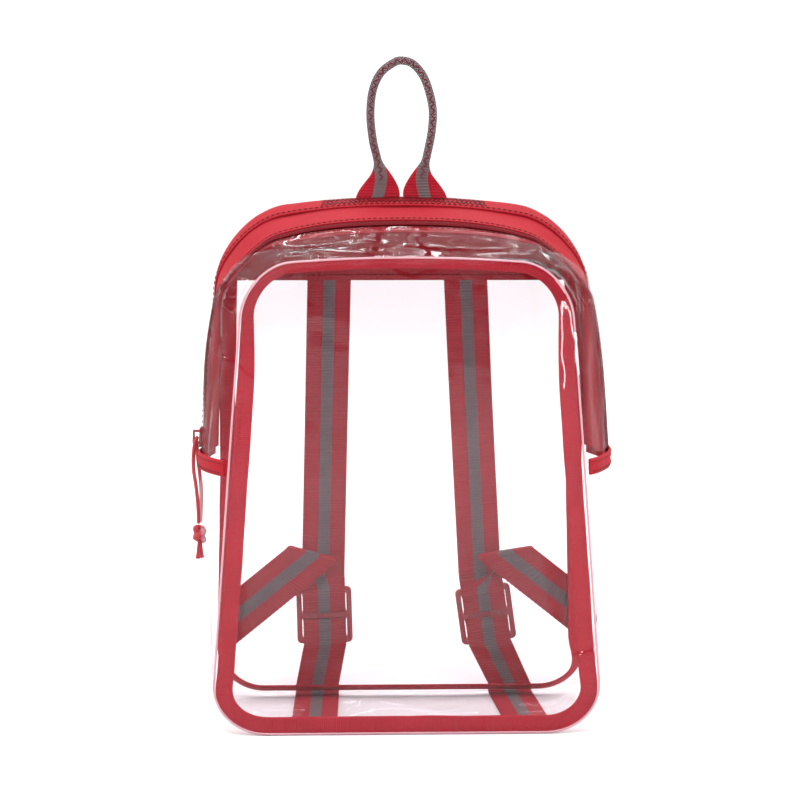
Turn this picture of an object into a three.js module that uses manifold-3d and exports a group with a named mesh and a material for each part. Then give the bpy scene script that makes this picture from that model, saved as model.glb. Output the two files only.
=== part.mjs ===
import * as THREE from "three";
import { mergeVertices } from "three/addons/utils/BufferGeometryUtils.js";
import Module from "manifold-3d";

// A small clear vinyl backpack with red cloth trim, standing on its base with its straps hanging behind it.
// Millimetres, +Z up. The front panel faces -Y and +X is to the right of someone who looks at the front.

const wasm = await Module();
wasm.setup();

// Driving sizes of the bag body. Half widths and heights are those of the outer faces at the seams.
const bodyDepth = 102;
const frontHeight = 266;
const backHeight = 295;
const frontHalfWidth = 100;
const backHalfWidth = 108.5;
const frontTaper = 20;
const backTaper = 7;
const frontTopRadius = 48;
const backTopRadius = 40;
const bottomRadius = 30;
const frontArch = 5;
const backArch = 11;
const sideSwell = 12.5;
const swellPeak = 0.42;
const topSwell = 0.5;
const frontCrown = 5;
const yokeHeight = 48;
const bandHeight = 150;

// Driving sizes of the materials.
const vinylWall = 1;
const clothWall = 1.2;
const gap = 0.3;

// Driving sizes of the sewn trim and the zip.
const bindingWidth = 9.5;
const bindingThickness = 2.2;
const weltWidth = 6.5;
const endBandWidth = 10;
const zipPlace = 0.54;
const zipTapeWidth = 22;
const zipTapeThickness = 0.8;
const zipChannelWidth = 12;
const coilWidth = 5;
const coilHeight = 2;
const sliderLength = 11;
const sliderPlate = 1;
const bridgeHeight = 3.6;
const bridgeLength = 8;
const bridgeWidth = 2.4;

// Driving sizes of the webbing, the carry loop and the buckles.
const webbingWidth = 25.4;
const webbingThickness = 1.6;
const loopRise = 80;
const loopSpan = 36;
const loopTabSpacing = 27.8;
const ropeThickness = 4.8;
const strapDrop = 240;
const strapBow = 12.5;
const foldRadius = 1.4;
const buckleWidth = 33;
const buckleHeight = 34;
const buckleThickness = 3.2;
const buckleRail = 3.2;
const buckleBar = 4;
const buckleMiddle = 47;
const tailReach = 66;

// Driving sizes of the pull cord.
const cordDiameter = 2.2;
const knotRadius = 5;
const knotTail = 9;

// The bag stands on the two strap tails that are tucked under it.
const standLift = webbingThickness + gap;
const strapReach = 4 * gap + 4.5 * webbingThickness + 2 * foldRadius + buckleThickness;
const depthShift = (frontCrown - strapReach) / 2;
const frontFace = depthShift - bodyDepth / 2;
const backFace = depthShift + bodyDepth / 2;
const gussetStart = frontFace + vinylWall + gap;
const gussetEnd = backFace - vinylWall - gap;
const gussetDepth = gussetEnd - gussetStart;

const mix = (a, b, share) => a + (b - a) * share;
const radians = (degrees) => (degrees * Math.PI) / 180;

function ease(share) {
  const held = Math.min(1, Math.max(0, share));
  return held * held * (3 - 2 * held);
}

// Main folds and dents of the side wall. around counts the twelve stretches of the outline, depth is a share
// of the wall's depth, the spans are in the same units, and dent is a share of the side swell.
const wallFolds = [
  { around: 2.2, depth: 0.32, aroundSpan: 0.5, depthSpan: 0.14, dent: 0.24 },
  { around: 2.7, depth: 0.66, aroundSpan: 0.45, depthSpan: 0.16, dent: -0.16 },
  { around: 3.5, depth: 0.2, aroundSpan: 0.45, depthSpan: 0.1, dent: 0.2 },
  { around: 4.5, depth: 0.3, aroundSpan: 0.4, depthSpan: 0.12, dent: -0.2 },
  { around: 5.6, depth: 0.24, aroundSpan: 0.5, depthSpan: 0.1, dent: 0.22 },
  { around: 6.7, depth: 0.3, aroundSpan: 0.5, depthSpan: 0.1, dent: 0.24 },
  { around: 7.5, depth: 0.28, aroundSpan: 0.4, depthSpan: 0.12, dent: -0.2 },
  { around: 8.3, depth: 0.22, aroundSpan: 0.4, depthSpan: 0.1, dent: 0.22 },
  { around: 8.85, depth: 0.66, aroundSpan: 0.3, depthSpan: 0.16, dent: 0.26 },
  { around: 9.6, depth: 0.6, aroundSpan: 0.3, depthSpan: 0.16, dent: -0.16 },
  { around: 9.8, depth: 0.34, aroundSpan: 0.5, depthSpan: 0.14, dent: 0.26 },
];

// How far the folds push the wall inwards at one place.
function foldDepth(around, depth) {
  const place = ((around % 12) + 12) % 12;
  let sum = 0;
  for (const fold of wallFolds) {
    const a = (place - fold.around) / fold.aroundSpan;
    const d = (depth - fold.depth) / fold.depthSpan;
    sum += fold.dent * sideSwell * Math.exp(-a * a - d * d);
  }
  return sum * ease(depth * 8) * ease((1 - depth) * 8);
}

// The cross section's sizes at a share of the depth, 0 at the front seam and 1 at the back seam.
function sectionSizes(depth) {
  const swell = Math.sin(Math.PI * depth ** (Math.log(0.5) / Math.log(swellPeak)));
  return {
    half: mix(frontHalfWidth, backHalfWidth, depth),
    top: mix(frontHeight, backHeight, depth) + topSwell * swell,
    bottom: standLift * ease(depth * 5),
    topRadius: mix(frontTopRadius, backTopRadius, depth),
    taper: mix(frontTaper, backTaper, depth),
    arch: mix(frontArch, backArch, depth),
    sideways: sideSwell * swell,
  };
}

// The right half of the outline. around runs from 0 at the middle of the base to 6 at the middle of the top:
// base, lower corner, side below the end band, side above it, upper corner, top.
function halfOutline(depth, around) {
  const s = sectionSizes(depth);
  const piece = Math.min(5, Math.floor(around));
  const share = around - piece;
  const turn = (share * Math.PI) / 2;
  let x = s.half;
  let z = s.bottom;
  if (piece === 0) {
    x = share * (s.half - bottomRadius);
  } else if (piece === 1) {
    x = s.half - bottomRadius + bottomRadius * Math.sin(turn);
    z = s.bottom + bottomRadius - bottomRadius * Math.cos(turn);
  } else if (piece === 2) {
    z = mix(s.bottom + bottomRadius, bandHeight, share);
  } else if (piece === 3) {
    z = mix(bandHeight, s.top - s.topRadius, share);
  } else if (piece === 4) {
    x = s.half - s.topRadius + s.topRadius * Math.cos(turn);
    z = s.top - s.topRadius + s.topRadius * Math.sin(turn);
  } else {
    x = (1 - share) * (s.half - s.topRadius);
    z = s.top;
  }
  const rise = (z - s.bottom) / (s.top - s.bottom);
  const bulge = s.sideways * ease(rise / 0.5);
  const stretch = (s.half + s.taper * (0.5 - rise) + bulge) / s.half;
  const droop = s.arch * (x / s.half) ** 2 * ease((rise - 0.6) / 0.4);
  return { x: x * stretch, z: z - droop };
}

// The whole outline, around from 0 to 12, with the left half as the mirror image of the right half.
function outline(depth, around) {
  const turn = ((around % 12) + 12) % 12;
  if (turn <= 6) {
    return halfOutline(depth, turn);
  }
  const p = halfOutline(depth, 12 - turn);
  return { x: -p.x, z: p.z };
}

function wallBase(around, depth) {
  const held = Math.min(1, Math.max(0, depth));
  const p = outline(held, around);
  return new THREE.Vector3(p.x, mix(gussetStart, gussetEnd, depth), p.z);
}

function wallNormal(around, depth) {
  const step = 0.004;
  const back = wallBase(around, Math.min(1, depth + step));
  const front = wallBase(around, Math.max(0, depth - step));
  const along = wallBase(around + step, depth).sub(wallBase(around - step, depth));
  return back.sub(front).cross(along).normalize();
}

// A point of the side wall, offset outwards from its outer face.
function wallPoint(around, depth, offset) {
  const normal = wallNormal(around, depth);
  return wallBase(around, depth).addScaledVector(normal, offset - foldDepth(around, depth));
}

// Stations round the outline between two places, with a number of steps for each of its stretches.
const stretchSteps = [4, 5, 6, 6, 7, 5];

function stations(from, to) {
  const list = [from];
  for (let piece = Math.floor(from); piece < to; piece += 1) {
    const place = ((piece % 12) + 12) % 12;
    const steps = stretchSteps[place < 6 ? place : 11 - place];
    for (let k = 1; k <= steps; k += 1) {
      const at = piece + k / steps;
      if (at > from + 1e-3 && at < to - 1e-3) {
        list.push(at);
      }
    }
  }
  list.push(to);
  return list;
}

// Stations in the depth of the wall between two places: every layer bends at the same ones.
const depthSteps = 12;

function depthStations(near, far) {
  const list = [near];
  for (let k = 1; k < depthSteps; k += 1) {
    const at = k / depthSteps;
    if (at > near + 0.015 && at < far - 0.015) {
      list.push(at);
    }
  }
  list.push(far);
  return list;
}

function evenly(from, to, steps) {
  return Array.from({ length: steps + 1 }, (_, k) => mix(from, to, k / steps));
}

// Six times the signed volume of a closed triangle mesh, which is negative where its faces point inwards.
function signedVolume(points, triangles) {
  let sum = 0;
  for (const [a, b, c] of triangles) {
    sum += points[a].dot(points[b].clone().cross(points[c]));
  }
  return sum;
}

function solidFrom(points, triangles) {
  const turned = signedVolume(points, triangles) < 0 ? triangles.map(([a, b, c]) => [a, c, b]) : triangles;
  const geometry = new THREE.BufferGeometry();
  geometry.setAttribute("position", new THREE.Float32BufferAttribute(points.flatMap((p) => p.toArray()), 3));
  geometry.setIndex(turned.flat());
  return geometry;
}

// A closed sheet between two grids of points, which may close on itself along its rows.
function sheet(rows, columns, outerPoint, innerPoint, closes = false) {
  const points = [];
  const triangles = [];
  const at = (layer, i, j) => (layer * rows + (i % rows)) * columns + j;
  const quad = (a, b, c, d) => triangles.push([a, b, c], [a, c, d]);
  for (const point of [outerPoint, innerPoint]) {
    for (let i = 0; i < rows; i += 1) {
      for (let j = 0; j < columns; j += 1) {
        points.push(point(i, j));
      }
    }
  }
  const last = columns - 1;
  for (let i = 0; i < (closes ? rows : rows - 1); i += 1) {
    for (let j = 0; j < last; j += 1) {
      quad(at(0, i, j), at(0, i + 1, j), at(0, i + 1, j + 1), at(0, i, j + 1));
      quad(at(1, i, j + 1), at(1, i + 1, j + 1), at(1, i + 1, j), at(1, i, j));
    }
    quad(at(0, i + 1, 0), at(0, i, 0), at(1, i, 0), at(1, i + 1, 0));
    quad(at(0, i, last), at(0, i + 1, last), at(1, i + 1, last), at(1, i, last));
  }
  if (!closes) {
    const end = rows - 1;
    for (let j = 0; j < last; j += 1) {
      quad(at(0, 0, j), at(0, 0, j + 1), at(1, 0, j + 1), at(1, 0, j));
      quad(at(0, end, j + 1), at(0, end, j), at(1, end, j), at(1, end, j + 1));
    }
  }
  return solidFrom(points, triangles);
}

// A closed skin through like sections, each a ring of points, open-ended with flat caps or closed in a loop.
function skin(sections, closes = false) {
  const sides = sections[0].length;
  const triangles = [];
  const at = (i, k) => (i % sections.length) * sides + (k % sides);
  for (let i = 0; i < (closes ? sections.length : sections.length - 1); i += 1) {
    for (let k = 0; k < sides; k += 1) {
      triangles.push([at(i, k), at(i, k + 1), at(i + 1, k + 1)], [at(i, k), at(i + 1, k + 1), at(i + 1, k)]);
    }
  }
  if (!closes) {
    const end = sections.length - 1;
    for (let k = 1; k < sides - 1; k += 1) {
      triangles.push([at(0, 0), at(0, k + 1), at(0, k)], [at(end, 0), at(end, k), at(end, k + 1)]);
    }
  }
  return solidFrom(sections.flat(), triangles);
}

// A layer on the side wall: from and to go round the outline, near and far are places in its depth.
function wallLayer(from, to, near, far, inner, outer) {
  const places = stations(from, to);
  const depths = depthStations(near, far);
  return sheet(
    places.length,
    depths.length,
    (i, j) => wallPoint(places[i], depths[j], outer),
    (i, j) => wallPoint(places[i], depths[j], inner),
  );
}

// The place on the right half of the outline at a height, found by halving the range.
function placeAtHeight(depth, height) {
  let low = 1;
  let high = 5;
  for (let k = 0; k < 40; k += 1) {
    const middle = (low + high) / 2;
    if (halfOutline(depth, middle).z < height) {
      low = middle;
    } else {
      high = middle;
    }
  }
  return low;
}

// A panel of the front or back between two places on the outline's right half.
function panel(depth, from, to, face, thickness, crown) {
  const rows = stations(from, to);
  const columns = evenly(-1, 1, 8);
  const sizes = sectionSizes(depth);
  const shoulder = halfOutline(depth, 5).z;
  const level = backHeight - yokeHeight;
  const point = (i, j, offset) => {
    const edge = halfOutline(depth, rows[i]);
    const across = columns[j];
    const lift = (sizes.top - shoulder) * Math.max(0, (edge.z - level) / (shoulder - level));
    const rise = (2 * (edge.z - sizes.bottom)) / (shoulder - sizes.bottom) - 1;
    const crowned = crown * (1 - across ** 2) * (1 - rise ** 2);
    return new THREE.Vector3(edge.x * across, face - crowned + offset, edge.z + lift * (1 - across ** 2));
  };
  return sheet(rows.length, columns.length, (i, j) => point(i, j, 0), (i, j) => point(i, j, thickness));
}

// The outline's inward direction in its own plane.
function inward(depth, around) {
  const step = 0.004;
  const a = outline(depth, around - step);
  const b = outline(depth, around + step);
  const length = Math.hypot(b.x - a.x, b.z - a.z);
  return { x: -(b.z - a.z) / length, z: (b.x - a.x) / length };
}

// A flat folded tape that follows a seam on the inside, in a closed loop.
function seamBinding(depth, nearFace, farFace) {
  const inset = vinylWall + gap + 1;
  const places = stations(0, 12).slice(0, -1);
  const corners = [
    [inset, nearFace],
    [inset + bindingWidth, nearFace],
    [inset + bindingWidth, farFace],
    [inset, farFace],
  ];
  const sections = places.map((around) => {
    const p = outline(depth, around);
    const n = inward(depth, around);
    return corners.map(([offset, y]) => new THREE.Vector3(p.x + n.x * offset, y, p.z + n.z * offset));
  });
  return skin(sections, true);
}

// Webbing through a list of stations. Each has its centre and the vector from the centre to one edge.
function ribbon(path, thickness) {
  const sections = path.map(({ centre, across }, i) => {
    const before = centre.clone().sub((path[i - 1] ?? path[i]).centre).normalize();
    const after = (path[i + 1] ?? path[i]).centre.clone().sub(centre).normalize();
    const along = before.clone().add(after).normalize();
    const miter = Math.max(0.75, along.dot(i ? before : after));
    const half = across.clone().cross(along).normalize().multiplyScalar(thickness / 2 / miter);
    return [
      centre.clone().add(across).add(half),
      centre.clone().sub(across).add(half),
      centre.clone().sub(across).sub(half),
      centre.clone().add(across).sub(half),
    ];
  });
  return skin(sections);
}

// A station of webbing whose width lies in the plane of the back, tilted from the horizontal.
function station(x, y, z, tilt = 0, half = webbingWidth / 2) {
  return {
    centre: new THREE.Vector3(x, y, z),
    across: new THREE.Vector3(Math.cos(tilt) * half, 0, Math.sin(tilt) * half),
  };
}

// The two strap sets, as shares of the back's half width and of the buckle's height above the ground.
const strapSets = [
  {
    side: "left", top: -0.38, buckle: -0.42, lean: 1.5, anchor: -1, anchorRise: 0.83, fold: -0.488,
    foldRise: 1.79, tail: -0.46, tailEnd: -0.474,
  },
  {
    side: "right", top: 0.33, buckle: 0.468, lean: 8, anchor: 1, anchorRise: 1.02, fold: 0.575,
    foldRise: 1.8, tail: 0.6, tailEnd: 0.635,
  },
];

// Depths behind the back panel: sewn strap, adjuster, folded adjuster, strap end, buckle and strap.
const layerSewn = backFace + gap + clothWall + gap + webbingThickness / 2;
const layerAdjuster = backFace + gap + webbingThickness / 2;
const layerFolded = layerAdjuster + 2 * foldRadius;
const layerStrapEnd = layerFolded + webbingThickness + gap;
const buckleFront = layerStrapEnd + webbingThickness / 2 + gap;
const buckleBack = buckleFront + buckleThickness;
const layerStrap = buckleBack + gap + webbingThickness / 2;

// Heights inside the buckle, from its own middle.
const upperBar = buckleHeight / 2 - buckleBar;
const slotHeight = (buckleHeight - 3 * buckleBar) / 2;
const wrap = gap + webbingThickness / 2;

// Turns a place in a buckle's own plane into the bag's frame.
function inBuckle(set, y, z, x = 0) {
  const lean = radians(set.lean);
  const centreX = set.buckle * backHalfWidth;
  return station(
    centreX + x * Math.cos(lean) + z * -Math.sin(lean),
    y,
    buckleMiddle + z * Math.cos(lean) + x * Math.sin(lean),
    lean,
  );
}

// Webbing round one corner of a buckle's bar, from one angle to another.
function barCorner(set, y, z, from, to) {
  return evenly(from, to, 3).map((turn) => {
    const angle = radians(turn);
    return inBuckle(set, y + wrap * Math.cos(angle), z + wrap * Math.sin(angle));
  });
}

// The shoulder strap: sewn down on the yoke, bowed away from the back, then round the buckle's upper bar.
function shoulderStrap(set) {
  const startZ = buckleMiddle + strapDrop;
  const startX = set.top * backHalfWidth;
  const joint = inBuckle(set, layerStrap, buckleHeight / 2 + 8).centre;
  const rows = [
    { down: 0, out: 0 },
    { down: 0.16, out: 0.0 },
    { down: 0.26, out: 0.22 },
    { down: 0.4, out: 0.68 },
    { down: 0.54, out: 0.94 },
    { down: 0.7, out: 1 },
    { down: 0.86, out: 0.97 },
  ];
  const path = rows.map(({ down, out }) => {
    const x = mix(startX, joint.x, down);
    const y = mix(layerSewn, backFace + strapBow, out);
    return station(x, y, mix(startZ, joint.z, down), radians(set.lean) * down);
  });
  path.push(inBuckle(set, layerStrap, buckleHeight / 2 + 8));
  path.push(...barCorner(set, buckleBack, upperBar, 0, -90));
  path.push(...barCorner(set, buckleFront, upperBar, -90, -180));
  path.push(inBuckle(set, layerStrapEnd, buckleHeight / 2 + 6));
  return ribbon(path, webbingThickness);
}

// The adjuster: cut along the side seam that it is sewn to, folded down at its top and woven through the
// buckle, with its tail tucked forwards under the bag.
function adjuster(set) {
  const startX = set.anchor * backHalfWidth;
  const startZ = set.anchorRise * buckleMiddle;
  const foldX = set.fold * backHalfWidth;
  const foldZ = set.foldRise * buckleMiddle;
  const entry = inBuckle(set, layerFolded, buckleHeight / 2).centre;
  const flip = Math.sign(-startX);
  const risingTilt = Math.atan2(foldZ - startZ, foldX - startX) - (flip * Math.PI) / 2;
  const fallingTilt = Math.atan2(entry.z - foldZ, entry.x - foldX) + (flip * Math.PI) / 2;
  const first = flip > 0 ? risingTilt : risingTilt - Math.PI * 2;
  const wrapped = (angle) => Math.atan2(Math.sin(angle), Math.cos(angle));
  const begin = wrapped(first);
  const finish = wrapped(fallingTilt);
  const foldTilt = (begin + finish) / 2;
  const foldHalf = webbingWidth / 2 / Math.cos((begin - finish) / 2);
  const cut = -Math.PI / 2;
  const path = [station(startX, layerAdjuster, startZ, cut, webbingWidth / 2 / Math.cos(begin - cut))];
  for (const turn of evenly(0, 180, 5)) {
    const out = foldRadius * Math.sin(radians(turn));
    path.push(
      station(
        foldX - Math.sin(foldTilt) * out,
        layerAdjuster + foldRadius * (1 - Math.cos(radians(turn))),
        foldZ + Math.cos(foldTilt) * out,
        foldTilt,
        foldHalf,
      ),
    );
  }
  path.push(inBuckle(set, layerFolded, buckleHeight / 2));
  path.push(inBuckle(set, layerFolded, upperBar));
  path.push(...barCorner(set, buckleFront, buckleBar / 2, 150, 90));
  path.push(...barCorner(set, buckleBack, buckleBar / 2, 90, 0));
  path.push(...barCorner(set, buckleBack, -buckleBar / 2, 0, -90));
  path.push(...barCorner(set, buckleFront, -buckleBar / 2, -90, -150));
  path.push(inBuckle(set, layerStrapEnd, -upperBar));
  path.push(inBuckle(set, layerStrapEnd, -buckleHeight / 2));
  const tailX = set.tail * backHalfWidth;
  const bend = 4;
  const bendY = layerStrapEnd - bend;
  for (const turn of evenly(0, 90, 4)) {
    const y = bendY + bend * Math.cos(radians(turn));
    path.push(station(tailX, y, webbingThickness / 2 + bend * (1 - Math.sin(radians(turn)))));
  }
  path.push(station(set.tailEnd * backHalfWidth, backFace - tailReach, webbingThickness / 2));
  return ribbon(path, webbingThickness);
}

function roundedRectangle(width, height, radius) {
  const shape = new THREE.Shape();
  const x = width / 2 - radius;
  const z = height / 2 - radius;
  shape.absarc(x, z, radius, 0, Math.PI / 2);
  shape.absarc(-x, z, radius, Math.PI / 2, Math.PI);
  shape.absarc(-x, -z, radius, Math.PI, Math.PI * 1.5);
  shape.absarc(x, -z, radius, Math.PI * 1.5, Math.PI * 2);
  return shape;
}

// A ladder-lock buckle: a flat frame with three bars and two slots, lying in the XZ plane.
function ladderLock() {
  const shape = roundedRectangle(buckleWidth, buckleHeight, 3);
  const half = buckleWidth / 2 - buckleRail;
  for (const side of [1, -1]) {
    const low = side > 0 ? buckleBar / 2 : -buckleBar / 2 - slotHeight;
    const slot = new THREE.Path();
    slot.moveTo(-half, low);
    slot.lineTo(-half, low + slotHeight);
    slot.lineTo(half, low + slotHeight);
    slot.lineTo(half, low);
    slot.closePath();
    shape.holes.push(slot);
  }
  const settings = { depth: buckleThickness, bevelEnabled: false, curveSegments: 4 };
  const geometry = new THREE.ExtrudeGeometry(shape, settings);
  geometry.rotateX(Math.PI / 2);
  return geometry;
}

// The carry loop's middle line, as shares of its span and of its rise.
const loopRows = [
  { across: -0.33, rise: 0.13 },
  { across: -0.4, rise: 0.29 },
  { across: -0.46, rise: 0.41 },
  { across: -0.5, rise: 0.6 },
  { across: -0.46, rise: 0.78 },
  { across: -0.33, rise: 0.91 },
  { across: -0.12, rise: 0.985 },
  { across: 0.02, rise: 1 },
  { across: 0.2, rise: 0.97 },
  { across: 0.38, rise: 0.86 },
  { across: 0.5, rise: 0.66 },
  { across: 0.49, rise: 0.48 },
  { across: 0.41, rise: 0.29 },
  { across: 0.33, rise: 0.13 },
];

// The carry loop: webbing that is flat at its two sewn tabs and folded into a round rope between them.
function carryLoop() {
  const base = backHeight + 2 * gap + clothWall;
  const y = gussetEnd - weltWidth / 2;
  const rise = loopRise - ropeThickness / 2;
  const inner = loopRows.map((row) => new THREE.Vector3(row.across * loopSpan, y, base + row.rise * rise));
  const tabs = [-loopTabSpacing / 2, loopTabSpacing / 2].map((x) => new THREE.Vector3(x, y, base));
  const line = new THREE.CatmullRomCurve3([tabs[0], ...inner, tabs[1]], false, "centripetal");
  const steps = 34;
  const sections = evenly(0, 1, steps).map((share) => {
    const centre = line.getPointAt(share);
    const along = line.getTangentAt(share);
    if (share === 0 || share === 1) {
      along.set(0, 0, share === 0 ? 1 : -1);
    }
    const across = new THREE.Vector3(0, 1, 0).cross(along).normalize();
    const fold = ease(((centre.z - base) / rise - 0.07) / 0.24);
    const wide = mix(webbingWidth, ropeThickness, fold) / 2;
    const deep = mix(webbingThickness, ropeThickness, fold) / 2;
    const cut = 0.4 * Math.min(wide, deep);
    const ring = [
      [wide, cut - deep], [wide, deep - cut], [wide - cut, deep], [cut - wide, deep],
      [-wide, deep - cut], [-wide, cut - deep], [cut - wide, -deep], [wide - cut, -deep],
    ];
    return ring.map(([a, d]) => centre.clone().addScaledVector(across, a).add(new THREE.Vector3(0, d, 0)));
  });
  return skin(sections);
}

function toSolid(geometry) {
  const bare = geometry.clone();
  bare.deleteAttribute("normal");
  bare.deleteAttribute("uv");
  const merged = mergeVertices(bare, 1e-4);
  return new wasm.Manifold(
    new wasm.Mesh({
      numProp: 3,
      vertProperties: new Float32Array(merged.attributes.position.array),
      triVerts: new Uint32Array(merged.index.array),
    }),
  );
}

function fromSolid(solid) {
  const mesh = solid.getMesh();
  const geometry = new THREE.BufferGeometry();
  geometry.setAttribute("position", new THREE.BufferAttribute(new Float32Array(mesh.vertProperties), 3));
  geometry.setIndex(new THREE.BufferAttribute(new Uint32Array(mesh.triVerts), 1));
  return geometry;
}

function placedBox(x, y, z, sizeX, sizeY, sizeZ) {
  const box = new THREE.BoxGeometry(sizeX, sizeY, sizeZ);
  box.translate(x, y, z);
  return toSolid(box);
}

// Places of the zip's parts in the depth of the wall.
const depthShare = (length) => length / gussetDepth;
const coilNear = zipPlace - depthShare(coilWidth) / 2;
const coilFar = zipPlace + depthShare(coilWidth) / 2;
const tapeNear = zipPlace - depthShare(zipTapeWidth) / 2;
const tapeFar = zipPlace + depthShare(zipTapeWidth) / 2;
const channelNear = zipPlace - depthShare(zipChannelWidth) / 2;
const channelFar = zipPlace + depthShare(zipChannelWidth) / 2;

// Half of the end band's width and the cut between the upper and the lower wall, in outline units.
const sideLength = bandHeight - bottomRadius;
const upperLength = backHeight - backTopRadius - bandHeight;
const bandBelow = endBandWidth / 2 / sideLength;
const bandAbove = endBandWidth / 2 / upperLength;
const cutBelow = gap / 2 / sideLength;
const cutAbove = gap / 2 / upperLength;
const clearAbove = gap / upperLength;

// The slider rides on the coil just above the left end band. Its own axes are along, across and off the wall.
function sliderFrame() {
  const around = 9 - bandAbove - (sliderLength / 2 + 4 * gap) / upperLength;
  const origin = wallPoint(around, zipPlace, coilHeight - vinylWall + 2.5 * gap);
  const off = wallNormal(around, zipPlace);
  const across = new THREE.Vector3(0, 1, 0);
  const along = across.clone().cross(off).normalize();
  return new THREE.Matrix4().makeBasis(along, off.clone().cross(along), off).setPosition(origin);
}

function zipSlider() {
  const flange = coilHeight - gap;
  const inner = coilWidth / 2 + gap;
  const plateWidth = 2 * (inner + sliderPlate);
  const post = 1.4;
  const bar = sliderPlate + gap;
  const side = flange + sliderPlate;
  let body = placedBox(0, 0, sliderPlate / 2, sliderLength, plateWidth, sliderPlate);
  for (const hand of [-1, 1]) {
    const y = hand * (inner + sliderPlate / 2);
    body = body.add(placedBox(0, y, (sliderPlate - flange) / 2, sliderLength, sliderPlate, side));
    const x = (hand * (bridgeLength - post)) / 2;
    body = body.add(placedBox(x, 0, bridgeHeight / 2, post, bridgeWidth, bridgeHeight));
  }
  body = body.add(placedBox(0, 0, bridgeHeight + sliderPlate / 2, bridgeLength, bridgeWidth, bar));
  return fromSolid(body);
}

// The pull cord: two strands from the slider's bridge to the knot. Their points stay as chosen by hand.
const strandPoints = [
  [
    [-117.8, -2.6, 159.9], [-118.4, -4.6, 159.0], [-119.2, -5.0, 155.0],
    [-119.8, -3.0, 148.5], [-119.9, 1.5, 141.0], [-119.2, 8.5, 132.5],
    [-118.7, 14.8, 124.0], [-118.4, 19.6, 115.5], [-118.3, 22.2, 107.6],
  ],
  [
    [-117.8, 1.2, 159.9], [-118.3, 3.6, 159.2], [-118.3, 6.4, 155.0],
    [-118.0, 10.0, 148.0], [-117.4, 14.4, 140.0], [-116.8, 19.2, 131.5],
    [-116.8, 23.6, 122.5], [-117.2, 26.6, 114.5], [-117.6, 27.6, 107.6],
  ],
];
const knotPlace = [-118, 25, 100.6];

function cordSection() {
  const shape = new THREE.Shape();
  for (let k = 0; k < 8; k += 1) {
    const turn = (k * Math.PI) / 4;
    const x = (cordDiameter / 2) * Math.cos(turn);
    const y = (cordDiameter / 2) * Math.sin(turn);
    if (k) {
      shape.lineTo(x, y);
    } else {
      shape.moveTo(x, y);
    }
  }
  shape.closePath();
  return shape;
}

function cordTube(points, steps) {
  const line = new THREE.CatmullRomCurve3(points, false, "centripetal");
  return new THREE.ExtrudeGeometry(cordSection(), { steps, bevelEnabled: false, extrudePath: line });
}

function pullStrand(points) {
  return cordTube(points.map((point) => new THREE.Vector3(...point)), 14);
}

function pullKnot() {
  const centre = new THREE.Vector3(...knotPlace);
  const ball = new THREE.IcosahedronGeometry(1, 2);
  ball.scale(knotRadius * 0.9, knotRadius, knotRadius * 1.05);
  ball.translate(centre.x, centre.y, centre.z);
  let knot = toSolid(ball);
  for (const side of [-1, 1]) {
    const tail = [0.3, 0.8, 1.2].map((drop) => {
      const down = drop * knotTail + knotRadius * 0.3;
      return centre.clone().add(new THREE.Vector3(side * drop, side * drop * 1.6, -down));
    });
    knot = knot.add(toSolid(cordTube(tail, 5)));
  }
  return fromSolid(knot);
}

const finishes = {
  vinyl: { color: 0xf4f4f6, roughness: 0.08, metalness: 0, transparent: true, opacity: 0.25 },
  cloth: { color: 0xd23440, roughness: 0.85, metalness: 0 },
  tape: { color: 0xc8303c, roughness: 0.8, metalness: 0 },
  webbing: { color: 0xc42f3e, roughness: 0.75, metalness: 0 },
  plastic: { color: 0xb92634, roughness: 0.4, metalness: 0 },
  coil: { color: 0x8c1220, roughness: 0.5, metalness: 0 },
  metal: { color: 0xb01c2a, roughness: 0.4, metalness: 0.2 },
  cord: { color: 0xc92b39, roughness: 0.8, metalness: 0 },
};

const backpack = new THREE.Group();

function addPiece(name, geometry, finish) {
  const mesh = new THREE.Mesh(geometry, new THREE.MeshStandardMaterial(finishes[finish]));
  mesh.name = name;
  backpack.add(mesh);
  return mesh;
}

// Panels: the front one, the clear back one and the cloth yoke that covers its upper part on the outside.
const yokePlace = placeAtHeight(1, backHeight - yokeHeight);
addPiece("front_panel", panel(0, 1, 5, frontFace, vinylWall, frontCrown), "vinyl");
addPiece("back_panel", panel(1, 1, 5, backFace - vinylWall, vinylWall, 0), "vinyl");
addPiece("back_yoke", panel(1, yokePlace, 5, backFace + gap, clothWall, 0), "cloth");

// Side wall: the clear part below the bands, the clear strip in front of the zip and the cloth behind it.
addPiece("lower_gusset", wallLayer(9 + cutBelow, 15 - cutBelow, 0, 1, -vinylWall, 0), "vinyl");
addPiece("front_gusset", wallLayer(3 + cutAbove, 9 - cutAbove, 0, channelNear, -vinylWall, 0), "vinyl");
addPiece("rear_gusset", wallLayer(3 + cutAbove, 9 - cutAbove, channelFar, 1, -vinylWall, 0), "cloth");

// Trim on the side wall.
const trimFrom = 3 + bandAbove + clearAbove;
const trimTo = 9 - bandAbove - clearAbove;
const tapeOuter = -vinylWall - gap;
const coilInner = -vinylWall;
addPiece("zip_tape", wallLayer(3, 9, tapeNear, tapeFar, tapeOuter - zipTapeThickness, tapeOuter), "tape");
const trimOuter = gap + clothWall;
const weltNear = 1 - depthShare(weltWidth);
const coilOuter = coilInner + coilHeight;
addPiece("zip_coil", wallLayer(trimFrom, trimTo, coilNear, coilFar, coilInner, coilOuter), "coil");
addPiece("rear_welt", wallLayer(trimFrom, trimTo, weltNear, 1, gap, trimOuter), "cloth");
addPiece("end_band_right", wallLayer(3 - bandBelow, 3 + bandAbove, 0.01, 0.99, gap, trimOuter), "cloth");
addPiece("end_band_left", wallLayer(9 - bandAbove, 9 + bandBelow, 0.01, 0.99, gap, trimOuter), "cloth");

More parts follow.
